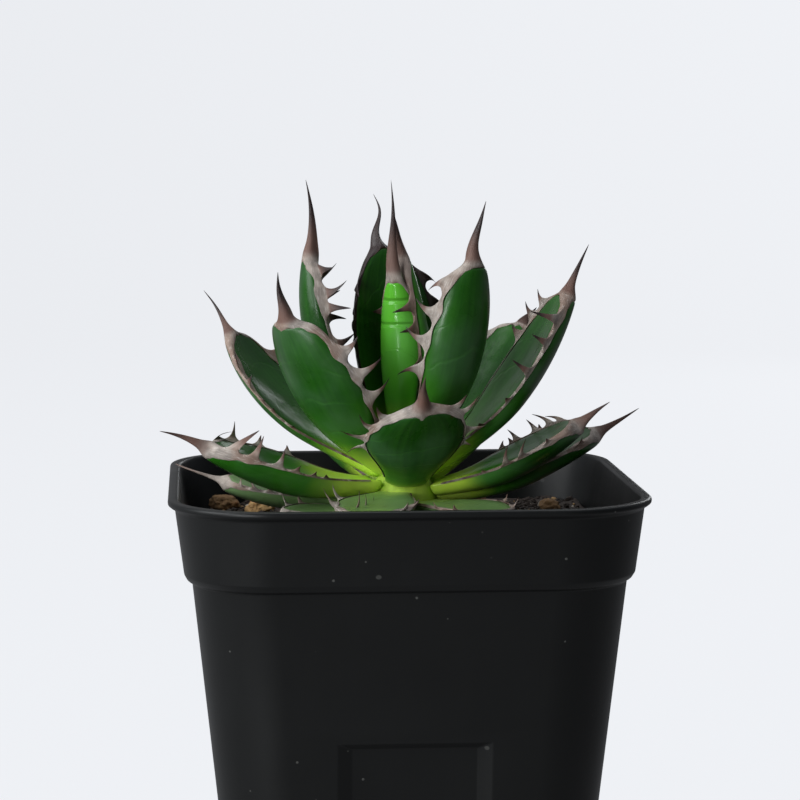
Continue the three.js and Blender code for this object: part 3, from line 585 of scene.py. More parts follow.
def blade_material(look):
    """Deep glossy green that turns yellow green at the stem, with fine streaks, imprints and specks."""
    f = Finish("agave_leaf", IOR=1.45, Specular_IOR_Level=0.34)
    place = f.place()
    share, across, side = f.parts(f.attribute("leaf_place", "Vector"))
    run = f.attribute("leaf_run", "Vector")
    youth, worn = f.attribute("youth"), f.attribute("worn")
    cloud = f.noise(place, 95, 4)
    patch = f.noise(place, 38, 2)
    streak = f.noise(f.stretched(run, (0.06, 1.3, 1.0)), 1.0, 3)
    deep = f.mixed(cloud, shaded(look.deep, 0.55), shaded(look.deep, 1.3))
    deep = f.mixed(f.ranged(patch, 0.35, 0.7) * 0.5, deep, shaded(look.deep, 1.9))
    bright = f.mixed(cloud, look.bright, shaded(look.bright, 1.25))
    tint = f.mixed(youth, deep, bright)
    tint = f.mixed(f.ranged(streak, 0.2, 0.8) * 0.09 + f.ranged(patch, 0.5, 0.8) * 0.14, tint, look.bright)
    # Bright and then yellow green towards the stem.
    height = share + cloud * 0.16 + f.attribute("greener")
    tint = f.mixed(f.ranged(height, 0.75, 0.3) * 0.45, tint, look.bright)
    tint = f.mixed(f.ranged(height, 0.42, 0.14), tint, look.base)
    # The pale lines that the edges of younger leaves have pressed into the blade in the bud.
    wander = (f.noise(run, 0.12, 2) - 0.5) * 0.16
    bow = share + across * across * 0.16 + wander
    prints = f.ranged(f.node("ShaderNodeMath", {"operation": "PINGPONG"}, {0: bow, 1: 0.105}), 0.014, 0.0)
    prints = prints * f.ranged(share, 0.3, 0.42) * f.ranged(share, 0.99, 0.9) * f.ranged(cloud, 0.35, 0.6)
    tint = f.mixed(prints * 0.08, tint, look.bright)
    # Wear on old leaves, brown spots, and on the outer face a grey blue painted sheen over a duller waxy
    # bloom.
    tint = f.mixed(worn * (0.6 + patch * 0.9), tint, srgb(LEAF_WORN))
    tint = f.mixed(f.specks(place, 230, 0.07, 0.2) * 0.7, tint, srgb(LEAF_SPOT))
    # Painted sheen: grey blue on the outer face, where the waxy bloom also makes the surface duller.
    bloom_and_sheen = f.ranged(side, 0.3, -0.3) * f.ranged(cloud, 0.35, 0.7) * 0.08
    tint = f.mixed(bloom_and_sheen, tint, srgb(LEAF_BLOOM_SHEEN))
    rough = 0.22 + cloud * 0.14 + bloom_and_sheen * 0.8 - youth * 0.12
    swell = f.bump(f.noise(place, 150, 2), 0.25, 0.0012)
    pressed = f.bump(prints, 0.14, -0.0003, swell)
    creases = f.ranged(f.nearest(share + wander * 0.2, CREASES), 0.02, 0.0) * f.ranged(youth, 0.9, 1.0)
    pressed = f.bump(creases, 0.6, -0.0006, pressed)
    pores = f.bump(f.noise(place, 2600, 2), 0.05, 0.0001, pressed)
    return f.finish(Base_Color=tint, Roughness=rough, Normal=pores)


def horn_material(look):
    """Weathered grey beige horn that ripens to brown black on the teeth and spines."""
    f = Finish("agave_horn", IOR=1.5, Specular_IOR_Level=0.4)
    place = f.place()
    run = f.attribute("leaf_run", "Vector")
    share, _, _ = f.parts(f.attribute("leaf_place", "Vector"))
    grain = f.noise(f.stretched(run, (0.5, 4.0, 1.0)), 1.0, 5, 0.6)
    cloud = f.noise(place, 420, 4)
    patch = f.noise(place, 120, 3)
    horn = f.mixed(f.ranged(cloud, 0.3, 0.7), shaded(look.horn, 0.5), look.horn)
    horn = f.mixed(f.ranged(patch, 0.42, 0.6) * 0.6, horn, srgb(HORN_PATCH))
    horn = f.mixed(f.ranged(grain, 0.5, 0.7) * 0.5, horn, srgb(HORN_PALE))
    # Brown and then nearly black towards the points.
    ripe = f.attribute("ripe") + (grain - 0.5) * 0.12
    tint = f.mixed(f.ranged(ripe, 0.08, 0.38) * 0.9, horn, srgb(HORN_RIPENING))
    tint = f.mixed(f.ranged(ripe, 0.35, 0.8), tint, look.spine)
    # Darker low on the leaf and along the line where the horn meets the green.
    low = f.ranged(share, 0.55, 0.3) * f.ranged(cloud, 0.38, 0.56)
    tint = f.mixed(low * 0.85, tint, srgb(HORN_LOW))
    tint = f.mixed(f.attribute("border") * 0.6, tint, srgb(HORN_BORDER))
    rough = 0.6 - f.ranged(ripe, 0.3, 0.9) * 0.22 + cloud * 0.1
    relief = f.bump(grain * 0.7 + cloud * 0.3, 0.35, 0.00035)
    return f.finish(Base_Color=tint, Roughness=rough, Normal=relief)


# ---- Lofts -------------------------------------------------------------------------------------
def lofted(name, rings):
    """A closed skin through rings of equally many points: a filled ring, extruded from each to the next."""
    bpy.ops.mesh.primitive_circle_add(vertices=len(rings[0]), radius=1, fill_type="NGON")
    piece = bpy.context.object
    piece.name = name
    mesh = edit(piece)
    order = mesh.verts.layers.int.new("order")
    mesh.verts.ensure_lookup_table()
    for k, vert in enumerate(mesh.verts):
        vert[order] = k
        vert.co = Vector(rings[0][k]) * MM
    bpy.ops.mesh.select_all(action="SELECT")
    for ring in rings[1:]:
        bpy.ops.mesh.extrude_region_move()
        mesh = bmesh.from_edit_mesh(piece.data)
        order = mesh.verts.layers.int["order"]
        for vert in mesh.verts:
            if vert.select:
                vert.co = Vector(ring[vert[order]]) * MM
    leave(outwards=True)
    return piece


def square_ring(half, corner, z, steps=CORNER_STEPS):
    """A square ring with round corners, at a height."""
    reach = half - corner
    ring = []
    for quarter in range(4):
        middle = math.radians(quarter * 90 + 45)
        x, y = math.copysign(reach, math.cos(middle)), math.copysign(reach, math.sin(middle))
        for step in range(steps + 1):
            turn = math.radians(quarter * 90 + step * 90 / steps)
            ring.append((x + corner * math.cos(turn), y + corner * math.sin(turn), z))
    return ring


def body_at(z):
    """Half width and corner radius of the pot's outside at a height under the collar."""
    share = z / STEP_HEIGHT
    return lerp(BODY_FOOT_HALF, BODY_TOP_HALF, share), lerp(BODY_FOOT_CORNER, BODY_TOP_CORNER, share)


# ---- Pot ---------------------------------------------------------------------------------------
def panel_faces(mesh, outside):
    """The four flat faces of the outer or inner wall that hold the panels."""
    found = []
    for face in mesh.faces:
        middle = face.calc_center_median() / MM
        heights = [vert.co.z / MM for vert in face.verts]
        flat = min(abs(middle.x), abs(middle.y)) < 1
        outer = max(abs(middle.x), abs(middle.y)) > body_at(middle.z)[0] - WALL / 2
        if flat and outer == outside and max(heights) - min(heights) > PANEL_TOP - PANEL_FOOT - 1:
            found.append(face)
    return found


def press_panels(piece, outside):
    """Insets the flat faces twice and puts the corners in place: a panel's edge, then its sunk floor."""
    mesh = edit(piece, "FACE")
    grow = 0 if outside else -WALL
    for face in panel_faces(mesh, outside):
        face.select = True
    mesh.select_flush(True)
    for slope, depth in ((0.0, 0.0), (PANEL_SLOPE, PANEL_DEPTH)):
        bpy.ops.mesh.inset(thickness=PANEL_INSET, use_individual=True)
        mesh = bmesh.from_edit_mesh(piece.data)
        for face in [each for each in mesh.faces if each.select]:
            middle = face.calc_center_median()
            along_x = abs(middle.x) < abs(middle.y)
            outward = math.copysign(1, middle.y if along_x else middle.x)
            for vert in face.verts:
                side = math.copysign(1, vert.co.x if along_x else vert.co.y)
                reach = side * (PANEL_HALF - grow - slope)
                high = vert.co.z > middle.z
                z = PANEL_TOP - grow - slope / 2 if high else PANEL_FOOT + grow + slope / 2
                wall = outward * (body_at(z)[0] - depth + grow)
                vert.co = Vector((reach, wall, z) if along_x else (wall, reach, z)) * MM
        bmesh.update_edit_mesh(piece.data)
    leave()


def pot_rings():
    """The rings of the pot: up the outside, over the lip, and down the inside to the floor."""
    rim_half = RIM_WIDTH / 2
    collar_half, collar_corner = rim_half - LIP_OVERHANG, RIM_CORNER - LIP_OVERHANG
    foot_corner = collar_corner - COLLAR_FOOT_TIGHTER
    outside = [
        (BODY_FOOT_HALF - FOOT_ROUND, BODY_FOOT_CORNER - FOOT_ROUND / 2, 0),
        (BODY_FOOT_HALF - FOOT_ROUND / 3, BODY_FOOT_CORNER, FOOT_ROUND / 3),
        *((*body_at(z), z) for z in (FOOT_ROUND, PANEL_FOOT - PANEL_CLEAR, PANEL_TOP + PANEL_CLEAR)),
        (BODY_TOP_HALF, BODY_TOP_CORNER, STEP_HEIGHT),
        (COLLAR_FOOT_HALF - COLLAR_ROUND / 3, foot_corner, STEP_HEIGHT + COLLAR_ROUND / 3),
        (COLLAR_FOOT_HALF, foot_corner, STEP_HEIGHT + COLLAR_ROUND),
        (collar_half, collar_corner, POT_HEIGHT - LIP_HEIGHT - LIP_HOLLOW),
        *((rim_half - inset, RIM_CORNER - less, POT_HEIGHT - down) for inset, less, down in LIP_OUTLINE),
    ]

    def inner(z):
        half, corner = body_at(z)
        return half - WALL, corner - WALL, z

    mouth, inner_step = collar_half - WALL / 2, STEP_HEIGHT + COLLAR_ROUND
    wider, rounder, down = MOUTH_ROUND
    inside = [
        (mouth + wider, collar_corner, POT_HEIGHT),
        (mouth, collar_corner - rounder, POT_HEIGHT - down),
        (COLLAR_FOOT_HALF - WALL, foot_corner, inner_step + WALL),
        (BODY_TOP_HALF - WALL, BODY_TOP_CORNER - WALL, inner_step),
        *(inner(z) for z in (PANEL_TOP + PANEL_CLEAR, PANEL_FOOT - PANEL_CLEAR, FLOOR)),
    ]
    return [square_ring(*ring) for ring in outside + inside]


def drain_cutter():
    """Four short pins where the floor has its holes, as one object."""
    pins = []
    for x in (-DRAIN_SPREAD, DRAIN_SPREAD):
        for y in (-DRAIN_SPREAD, DRAIN_SPREAD):
            bpy.ops.mesh.primitive_cylinder_add(
                vertices=DRAIN_SIDES, radius=DRAIN_RADIUS * MM, depth=4 * FLOOR * MM,
                location=(x * MM, y * MM, 0),
            )
            pins.append(bpy.context.object)
    pick_alone(pins[0])
    for pin in pins[1:]:
        pin.select_set(True)
    bpy.ops.object.join()
    return pins[0]


class AGAVE_OT_pot(bpy.types.Operator):
    """Models the square nursery pot with its collar, lip, panels and drain holes"""

    bl_idname = "agave.pot"
    bl_label = "Pot"

    def execute(self, context):
        look = context.scene.agave_pot
        piece = lofted("nursery_pot", pot_rings())
        press_panels(piece, True)
        press_panels(piece, False)
        bevel = {
            "width": look.edge_round, "segments": 3, "limit_method": "ANGLE",
            "angle_limit": math.radians(BEVEL_FROM),
        }
        finished(piece, ("BEVEL", bevel), smooth_angle=SMOOTH_TO)
        cutter = drain_cutter()
        finished(piece, ("BOOLEAN", {"object": cutter, "operation": "DIFFERENCE"}), smooth_angle=SMOOTH_TO)
        bpy.data.objects.remove(cutter)
        dressed(piece, plastic_material(look), "plastic", "pot")
        return {"FINISHED"}


# ---- Ground ------------------------------------------------------------------------------------
def soil_height(x, y):
    """Height of the soil's long waves at a place."""
    swell = math.sin(x * 0.31 + 1.3) * math.cos(y * 0.27) + math.sin(x * 0.13 - y * 0.11)
    return SOIL_TOP + SOIL_WAVE * swell


def soil_rings():
    """The rings of the soil from its foot up and in to the middle, with clods that stand up and down."""
    inset = WALL + GAP

    def side(z):
        half, corner = body_at(z)
        return square_ring(half - inset, corner - inset, z, SOIL_CORNER_STEPS)

    edge = side(SOIL_EDGE)
    rings = [side(FLOOR + GAP), edge]
    for k in range(SOIL_RINGS):
        ring = []
        for i, (x, y, _) in enumerate(edge):
            shuffle = lerp(-SOIL_SHUFFLE, SOIL_SHUFFLE, draw(k, i + len(edge))) if k else 0
            share = (1 - k / SOIL_RINGS) * (1 + shuffle)
            px, py = x * share, y * share
            ring.append((px, py, soil_height(px, py) + SOIL_CLOD * (draw(k, i) - 0.5)))
        rings.append(ring)
    return rings


def lumpy(place, lumps):
    """Height of a lumpy surface at a place: the sum of noises, each with how close and how high it is."""
    return sum(noise.noise(place * close) * high for close, high in lumps)


def tinted(piece, shares):
    """Keeps the share that the material picks a colour by on the points of a piece."""
    piece.data.attributes.new("tint", "FLOAT", "POINT").data.foreach_set("value", shares)


def soil_bed():
    """The soil with the clods of its rings, and finer relief over them."""
    piece = finished(lofted("soil_bed", soil_rings()), subdivided(4, "SIMPLE"))
    for vert in piece.data.vertices:
        if vert.co.z > (SOIL_EDGE + 0.5) * MM:
            vert.co.z += lumpy(vert.co, SOIL_RELIEF) * MM
    tinted(piece, [0.0] * len(piece.data.vertices))
    return piece


def surface_of(piece):
    """A tree of a piece's faces, to find how high it stands at a place."""
    points = [vert.co for vert in piece.data.vertices]
    return BVHTree.FromPolygons(points, [list(face.vertices) for face in piece.data.polygons])


def grain_cloud(count, ground):
    """Loose grains all over the soil, as one mesh of small faceted lumps."""
    bpy.ops.mesh.primitive_ico_sphere_add(subdivisions=1, radius=1)
    seed = bpy.context.object
    lump = np.array([v.co for v in seed.data.vertices])
    faces = np.array([list(p.vertices) for p in seed.data.polygons])
    bpy.data.objects.remove(seed)
    half = body_at(SOIL_TOP)[0] - WALL - GRAIN_MARGIN
    points, polygons, tints = [], [], []
    placed = 0
    for k in range(4 * count):
        if placed == count:
            break
        x, y = (2 * draw(k, 1) - 1) * half, (2 * draw(k, 2) - 1) * half
        over = [max(abs(v) - (half - GRAIN_CORNER), 0) for v in (x, y)]
        if math.hypot(*over) > GRAIN_CORNER or math.hypot(x - PLANT_X, y) < GRAIN_FROM_STEM:
            continue
        size = lerp(*GRAIN_SIZE, draw(k, 3) ** 3)
        turn = Matrix.Rotation(6.28 * draw(k, 4), 3, Vector((draw(k, 5), draw(k, 6), draw(k, 7) + 0.1)))
        shape = lump * [1 + 0.4 * draw(k, 8), 1, 0.6 + 0.3 * draw(k, 9)] * size
        dents = np.array([draw(k, 20 + i) for i in range(len(lump))])[:, None] - 0.5
        shape *= 1 + GRAIN_ROUGHNESS * dents
        top = ground.ray_cast(Vector((x, y, POT_HEIGHT)) * MM, Vector((0, 0, -1)))[0].z / MM
        points.append(shape @ np.array(turn) + [x, y, top + size * GRAIN_RISE])
        polygons.append(faces + placed * len(lump))
        tints.extend([draw(k, 11)] * len(lump))
        placed += 1
    mesh = bpy.data.meshes.new("soil_grains")
    mesh.from_pydata((np.concatenate(points) * MM).tolist(), [], np.concatenate(polygons).tolist())
    piece = bpy.data.objects.new("soil_grains", mesh)
    tinted(piece, tints)
    bpy.context.scene.collection.objects.link(piece)
    return piece


def pumice_stone(k, x, y, radius):
    """A stone with knobs, one flat side, and its foot in the soil."""
    bpy.ops.mesh.primitive_ico_sphere_add(subdivisions=5, radius=1)
    piece = bpy.context.object
    piece.name = f"pumice_{k + 1:02d}"
    middle = Vector((x, y, soil_height(x, y) + radius * (STONE_STRETCH[2] - STONE_SINK)))
    facing = Vector((math.cos(k), math.sin(k), 0.2)).normalized()
    flat_from, flat_by = STONE_FACET
    for vert in piece.data.vertices:
        way = vert.co.normalized()
        knobs = lumpy(way + Vector((k * 3.7, 0, 0)), STONE_KNOBS)
        flat = max(way.dot(facing) - flat_from, 0) * flat_by
        spot = way * Vector(STONE_STRETCH) * (radius * (STONE_ROUND + knobs - flat))
        spot.rotate(Matrix.Rotation(6 * draw(k, 92), 3, "Z"))
        vert.co = (spot + middle) * MM
    tinted(piece, [draw(k, 12)] * len(piece.data.vertices))
    return finished(piece)


class AGAVE_OT_ground(bpy.types.Operator):
    """Models the soil with its loose grains and the pumice stones on it"""

    bl_idname = "agave.ground"
    bl_label = "Soil and stones"

    def execute(self, context):
        look = context.scene.agave_ground
        earth = soil_material(look)
        bed = dressed(soil_bed(), earth, "soil", "soil")
        dressed(grain_cloud(look.grains, surface_of(bed)), earth, "soil")
        stone = pumice_material(look)
        for k, row in enumerate(STONES):
            dressed(pumice_stone(k, *row), stone, "pumice", f"stone_{k + 1:02d}")
        return {"FINISHED"}


# ---- Stem --------------------------------------------------------------------------------------
def stem_radius(z):
    """Radius of the stem at a height over the rim."""
    above = next(i for i, (_, height) in enumerate(STEM_OUTLINE) if height > z)
    low, high = STEM_OUTLINE[above - 1], STEM_OUTLINE[above]
    return lerp(low[0], high[0], (z - low[1]) / (high[1] - low[1]))


class AGAVE_OT_stem(bpy.types.Operator):
    """Models the short stem that the leaves grow from"""

    bl_idname = "agave.stem"
    bl_label = "Stem"

    def execute(self, context):
        turns = [math.radians(360 * k / STEM_SIDES) for k in range(STEM_SIDES)]
        rings = [
            [(PLANT_X + radius * math.cos(turn), radius * math.sin(turn), POT_HEIGHT + z) for turn in turns]
            for radius, z in STEM_OUTLINE
        ]
        piece = finished(lofted("short_stem", rings), subdivided(1))
        dressed(piece, stem_material(context.scene.agave_leaves), "stem", "stem")
        return {"FINISHED"}


# ---- Leaves ------------------------------------------------------------------------------------
ALONG = 24  # cells along the blade
SPINE = 9  # cells along the terminal spine
CROWDING = (0.85, 1.35)  # powers that bring their lines closer together at the blade's end
GREEN_ACROSS = 10
BAND = 3  # cells across the horny edge on each side
INNER = 6  # cells across the green between the horny edges
ACROSS = 2 * BAND + INNER
SKIN_LEVELS = 2

GREEN_END = 1.03  # the green ends under the cap of the spine
GREEN_NARROWS = (0.97, 0.8)  # from this share on, down to this share of its width
GREEN_TUCK = 0.55  # how far it reaches under the horny edge, in that edge's width

HORN_START = 1  # the line of cells at which the horny edge begins
HORN_PROUD = 0.09  # how far it stands over the green
PROUD_ENDS = (0.1, 0.5)  # share of the spine over which that ends
SHARP = 0.5  # thickness left at the very margin, as a share
BAND_GROWS = (0.5, 0.88)  # share of the blade over which the horny edge widens
BAND_MOST = 0.5  # its greatest width, in the half width
BAND_AT_CAP = (0.9, 1.3)  # from this share of the blade on, up to this factor at the cap
BAND_VARIES = (0.85, 1.15)
BAND_BESIDE, BAND_AWAY = 1.25, 0.75  # its width beside a tooth and away from one
BAND_LINES = (0.0, 0.4, 0.82)  # lines over it, as shares of its width from the margin
OUTER_WIDENS = (0.7, 0.97)  # share of the blade over which it grows as wide on the outer face
CAP_POINT = 0.34  # how broad the cap's point on the midrib is
CAP_SIDES = (0.6, 0.05)  # from this share across, the cap reaches this much down the sides too

TOOTH_FLARE = 0.18  # how far the margin rises to a tooth, in the tooth's length
SCALLOP = -0.035  # and how far it falls back between two teeth, in the half width
SCALLOP_FROM = (0.2, 0.4)
ROOT_SPREAD = 0.3  # how far a tooth's root spreads into the cells beside it
HOOK_SHORTENS = 0.12  # how much less far a hooked tooth reaches out
TOOTH_RINGS = (  # share of the tooth's length, width and thickness left, and ripeness
    (0.1, 0.84, 1.7, 0.05),
    (0.28, 0.58, 1.9, 0.2),
    (0.54, 0.35, 1.4, 0.46),
    (0.82, 0.18, 0.7, 0.84),
    (1, 0.04, 0.15, 1),
)
SPINE_RIPENS = ((0.36, 0.0, 0.16), (0.54, 0.1, 0.85))  # by how much, between which shares of the spine
PALE_SPINE, PALE_TEETH = 0.7, 0.9  # how much less ripe both are on bleached leaves
WORN_FROM = 0.4  # how bleached a leaf is before its green looks worn

# Teeth of leaves that are out of sight, by repeatable draws.
DRAWN_FIRST, DRAWN_FIRST_SPAN = 4, 3  # the cell of the first tooth, and how many cells that may vary by
DRAWN_STEP, DRAWN_STEP_SPAN = 2, 1.7  # the same for the cells from each tooth to the next
DRAWN_UNTIL = 0.95
DRAWN_LENGTH, DRAWN_GROWS = (1.2, 4.0), (0.2, 0.7)  # low on the blade and on its end, and where it grows
DRAWN_VARIES = (0.6, 1.15)
DRAWN_FULL_HALF = 9.0  # half width of a leaf with teeth of full length
DRAWN_HOOK, DRAWN_HOOK_SPAN = -0.6, 1.4
DRAWN_LIFT = 0.35


class Curve:
    """A cubic curve in a leaf's own upright plane, where x is the distance from the stem's axis."""

    def __init__(self, start, end, start_angle, end_angle):
        pull = math.dist(start, end) * MIDRIB_PULL
        a, d = Vector(start), Vector(end)
        b = a + Vector((math.cos(start_angle), math.sin(start_angle))) * pull
        c = d - Vector((math.cos(end_angle), math.sin(end_angle))) * pull
        self.points = (a, b, c, d)

    def at(self, t):
        """The place at a share of the curve."""
        a, b, c, d = self.points
        s = 1 - t
        return s**3 * a + 3 * s * s * t * b + 3 * s * t * t * c + t**3 * d

    def heading(self, t):
        """The way that the curve runs there."""
        a, b, c, d = self.points
        s = 1 - t
        return (s * s * (b - a) + 2 * s * t * (c - b) + t * t * (d - c)).normalized()


class Grown:
    """A leaf of the table at its place on the stem, with the formulas of its surface."""

    def __init__(self, leaf, row):
        self.leaf = leaf
        self.order = row - 1
        self.name = "bud" if row == 0 else f"leaf_{row:02d}"
        foot_height = FIRST_FOOT - FOOT_STEP * self.order
        foot = (stem_radius(foot_height) - FOOT_SINK, foot_height)
        start, finish = math.radians(leaf.start), math.radians(leaf.finish)
        spine = math.atan2(leaf.tip[1] - leaf.end[1], leaf.tip[0] - leaf.end[0])
        self.blade = Curve(foot, leaf.end, start, finish)
        self.spine = Curve(leaf.end, leaf.tip, finish, 2 * spine - finish)
        self.turn = math.radians(FIRST_TURN + GOLDEN_TURN * self.order + leaf.lean)
        self.length = math.dist(foot, leaf.end) * CURVE_LONGER

    def width(self, t):
        """Share of the blade's greatest width."""
        if t < WIDEST_AT:
            return lerp(BASE_WIDTH, 1, smooth(0, WIDEST_AT, t))
        past = (t - WIDEST_AT) / (1 - WIDEST_AT)
        return self.leaf.neck + (1 - self.leaf.neck) * max(1 - past * past, 0) ** SHOULDER

    def frame(self, t):
        """Place, forward, upward and sideways of the midrib: 0 to 1 is the blade, and 1 to 2 the spine."""
        curve, at = (self.blade, t) if t <= 1 else (self.spine, t - 1)
        x, z = curve.at(at)
        fx, fz = curve.heading(at)
        wave = self.leaf.sway * math.sin(at * 2 * math.pi) * (1 - at / 2) if t > 1 else 0.0
        spin = Matrix.Rotation(self.turn, 3, "Z")
        place = spin @ Vector((x, wave, z + POT_HEIGHT)) + Vector((PLANT_X, 0, 0))
        forward, upward, sideways = (spin @ Vector(way) for way in ((fx, 0, fz), (-fz, 0, fx), (0, 1, 0)))
        twist = math.radians(self.leaf.twist) * smooth(0, TWIST_DONE, t)
        c, s = math.cos(twist), math.sin(twist)
        return place, forward, upward * c + sideways * s, sideways * c - upward * s

    def flesh(self, t):
        """Half thickness of the blade's middle."""
        at_stem, midway, at_end = FLESH
        thick = lerp(at_stem, midway, smooth(0, 0.5, t)) if t < 0.5 else lerp(midway, at_end, 2 * t - 1)
        return thick * min(self.leaf.half / FULL_FLESH_HALF, 1)

    def section(self, t):
        """Half width, curl, half thickness along the middle and at the edge."""
        roll = math.radians(self.leaf.roll)
        if t <= 1:
            return self.leaf.half * self.width(t), roll, self.flesh(t), EDGE
        left = 2 - t
        flare = self.leaf.flare
        slim = flare * left**FLARE_POWER + (1 - flare) * left**SPINE_POWER
        half = max(self.leaf.half * self.leaf.neck * slim, SPINE_TIP)
        return half, roll * left, min(self.flesh(1) * left, half), min(EDGE, half / 2)

    def point(self, t, u, side, grow=0.0, sharp=1.0):
        """A point on the inner face (side 1) or outer face (side -1), u across from -1 to 1."""
        place, forward, upward, sideways = self.frame(t)
        half, roll, flesh, edge = self.section(t)
        bend = u * roll
        bow = (half + grow) / max(roll, LEAST_ROLL)
        keen = lerp(1, KEEN, smooth(KEEN_FROM, 1, abs(u))) if t <= 1 else 1
        rise, fall = FLESH_POWERS
        body = flesh * max(1 - abs(u) ** rise, 0) ** fall * (1 if side > 0 else self.leaf.belly)
        thick = (edge + grow) * sharp * keen + body
        spot = place + forward * (self.leaf.skew * u * half * smooth(SKEW_FROM, 1, t))
        spot += sideways * (bow * math.sin(bend) - side * thick * math.sin(bend))
        return spot + upward * (bow * (1 - math.cos(bend)) + side * thick * math.cos(bend))

    def band(self, t):
        """Width of the horny edge, as a share of the half width."""
        return min(lerp(*self.leaf.band, smooth(*BAND_GROWS, t)) / self.section(t)[0], BAND_MOST)


def slab(name, along, across, keep=None):
    """A slab of a grid's cells, or of those that are kept, with its corners at whole numbers in x and y."""
    bpy.ops.mesh.primitive_grid_add(x_subdivisions=along, y_subdivisions=across, size=2)
    piece = bpy.context.object
    piece.name = name
    for vert in piece.data.vertices:
        vert.co = (round((vert.co.x + 1) / 2 * along), round((vert.co.y + 1) / 2 * across), 0)
    mesh = edit(piece, "FACE" if keep else None)
    if keep:
        for face in mesh.faces:
            middle = face.calc_center_median()
            if not keep(int(middle.x), int(middle.y)):
                face.select = True
        bpy.ops.mesh.delete(type="FACE")
    bpy.ops.mesh.select_all(action="SELECT")
    bpy.ops.mesh.extrude_region_move(TRANSFORM_OT_translate={"value": (0, 0, -1)})
    bpy.ops.mesh.select_all(action="SELECT")
    bpy.ops.mesh.normals_make_consistent(inside=False)
    return piece


def layers(mesh):
    """The values that the materials read, kept on the points."""
    found = {}
    for name in ("ripe", "border", "youth", "worn", "greener"):
        found[name] = mesh.verts.layers.float.get(name) or mesh.verts.layers.float.new(name)
    for name in ("leaf_place", "leaf_run"):
        vectors = mesh.verts.layers.float_vector
        found[name] = vectors.get(name) or vectors.new(name)
    return found


def mark(vert, kept, grown, t, u, side):
    """Keeps a point's place on its leaf, and what the leaf is like, for the materials."""
    vert[kept["leaf_place"]] = (t, u, side)
    vert[kept["leaf_run"]] = (t * grown.length, u * grown.leaf.half, RUNS_APART * grown.order)
    vert[kept["youth"]] = grown.leaf.youth
    vert[kept["worn"]] = max(grown.leaf.bleach - WORN_FROM, 0)
    vert[kept["greener"]] = grown.leaf.greener


def face_side(vert):
    """1 on the slab's top, which becomes the inner face, and -1 on its underside."""
    return 1 if vert.co.z > -0.5 else -1


def station(i):
    """Share of the leaf's length at a line of cells: 0 to 1 on the blade, 1 to 2 on the spine."""
    on_blade, on_spine = CROWDING
    if i <= ALONG:
        return (i / ALONG) ** on_blade
    return 1 + ((i - ALONG) / SPINE) ** on_spine


def model_blade(grown):
    """The green body of a leaf: it ends inside the horny edge and under the cap of the spine."""
    piece = slab(f"{grown.name}_green", ALONG, GREEN_ACROSS)
    mesh = bmesh.from_edit_mesh(piece.data)
    kept = layers(mesh)
    narrows_from, narrowed = GREEN_NARROWS
    for vert in mesh.verts:
        t = min(station(vert.co.x), 1) * GREEN_END
        side = face_side(vert)
        tucked = GREEN_TUCK * grown.band(min(t, 1)) if t > station(HORN_START) else 0
        u = (2 * vert.co.y / GREEN_ACROSS - 1) * (1 - tucked)
        u *= lerp(1, narrowed, smooth(narrows_from, GREEN_END, t))
        mark(vert, kept, grown, t, u, side)
        vert.co = grown.point(t, u, side) * MM
    leave()
    return finished(piece, subdivided(SKIN_LEVELS))


def drawn_teeth(grown):
    """Teeth for a leaf whose own are out of sight, from repeatable draws."""
    teeth = []
    for side in (-1, 1):
        cell = DRAWN_FIRST + int(DRAWN_FIRST_SPAN * draw(grown.order, side + 20))
        while station(cell + 1) < DRAWN_UNTIL:
            seed = grown.order * 60 + cell * 2 + side
            t = station(cell + 0.5)
            long = lerp(*DRAWN_LENGTH, smooth(*DRAWN_GROWS, t)) * lerp(*DRAWN_VARIES, draw(seed, 2))
            long *= grown.leaf.half / DRAWN_FULL_HALF
            teeth.append((side, t, long, DRAWN_HOOK + DRAWN_HOOK_SPAN * draw(seed, 3), DRAWN_LIFT))
            cell += DRAWN_STEP + int(DRAWN_STEP_SPAN * draw(seed, 5))
    return teeth


def placed_teeth(grown, scale):
    """Each tooth by its side and the cell of the margin that it grows from, at most one to a cell."""
    rows = grown.leaf.teeth if grown.leaf.teeth is not None else drawn_teeth(grown)
    taken = {}
    for side, t, length, hook, lift in rows:
        cell = min(range(HORN_START, ALONG), key=lambda i: abs(station(i + 0.5) - t))
        taken[(side, cell)] = (length * scale, hook, lift)
    return taken


def horn_line(grown, teeth, i, j, face):
    """Where a corner of the slab lies along and across the leaf: the horny edge widens towards its teeth."""
    side = -1 if j < ACROSS / 2 else 1
    across = j if side < 0 else ACROSS - j
    t = station(i)
    if i > ALONG:
        return t, 2 * j / ACROSS - 1
    if across == 0 and ((side, i) in teeth) != ((side, i - 1) in teeth):
        towards = -1 if (side, i) in teeth else 1
        t = lerp(t, station(i + towards), ROOT_SPREAD)
    beside = [teeth[(side, cell)][0] for cell in (i - 1, i) if (side, cell) in teeth]
    widens_from, widest = BAND_AT_CAP
    band = grown.band(t) * lerp(1, widest, smooth(widens_from, 1, t))
    band *= BAND_BESIDE if beside else BAND_AWAY
    band *= lerp(*BAND_VARIES, draw(grown.order * 40 + i, side + 3))
    band *= 1 if face > 0 else lerp(grown.leaf.outer, 1, smooth(*OUTER_WIDENS, t))
    if across < BAND:
        flare = SCALLOP * smooth(*SCALLOP_FROM, t)
        if beside:
            flare = TOOTH_FLARE * max(beside) / grown.section(t)[0]
        return t, side * (1 - band * BAND_LINES[across] + (flare if across == 0 and t < 0.99 else 0))
    between = 2 * (j - BAND) / INNER - 1
    if i == ALONG:
        sides_from, sides_by = CAP_SIDES
        t -= grown.leaf.vee * (1 - smooth(0, CAP_POINT, abs(between)))
        t -= sides_by * smooth(sides_from, 1, abs(between))
    return t, (1 - band) * between


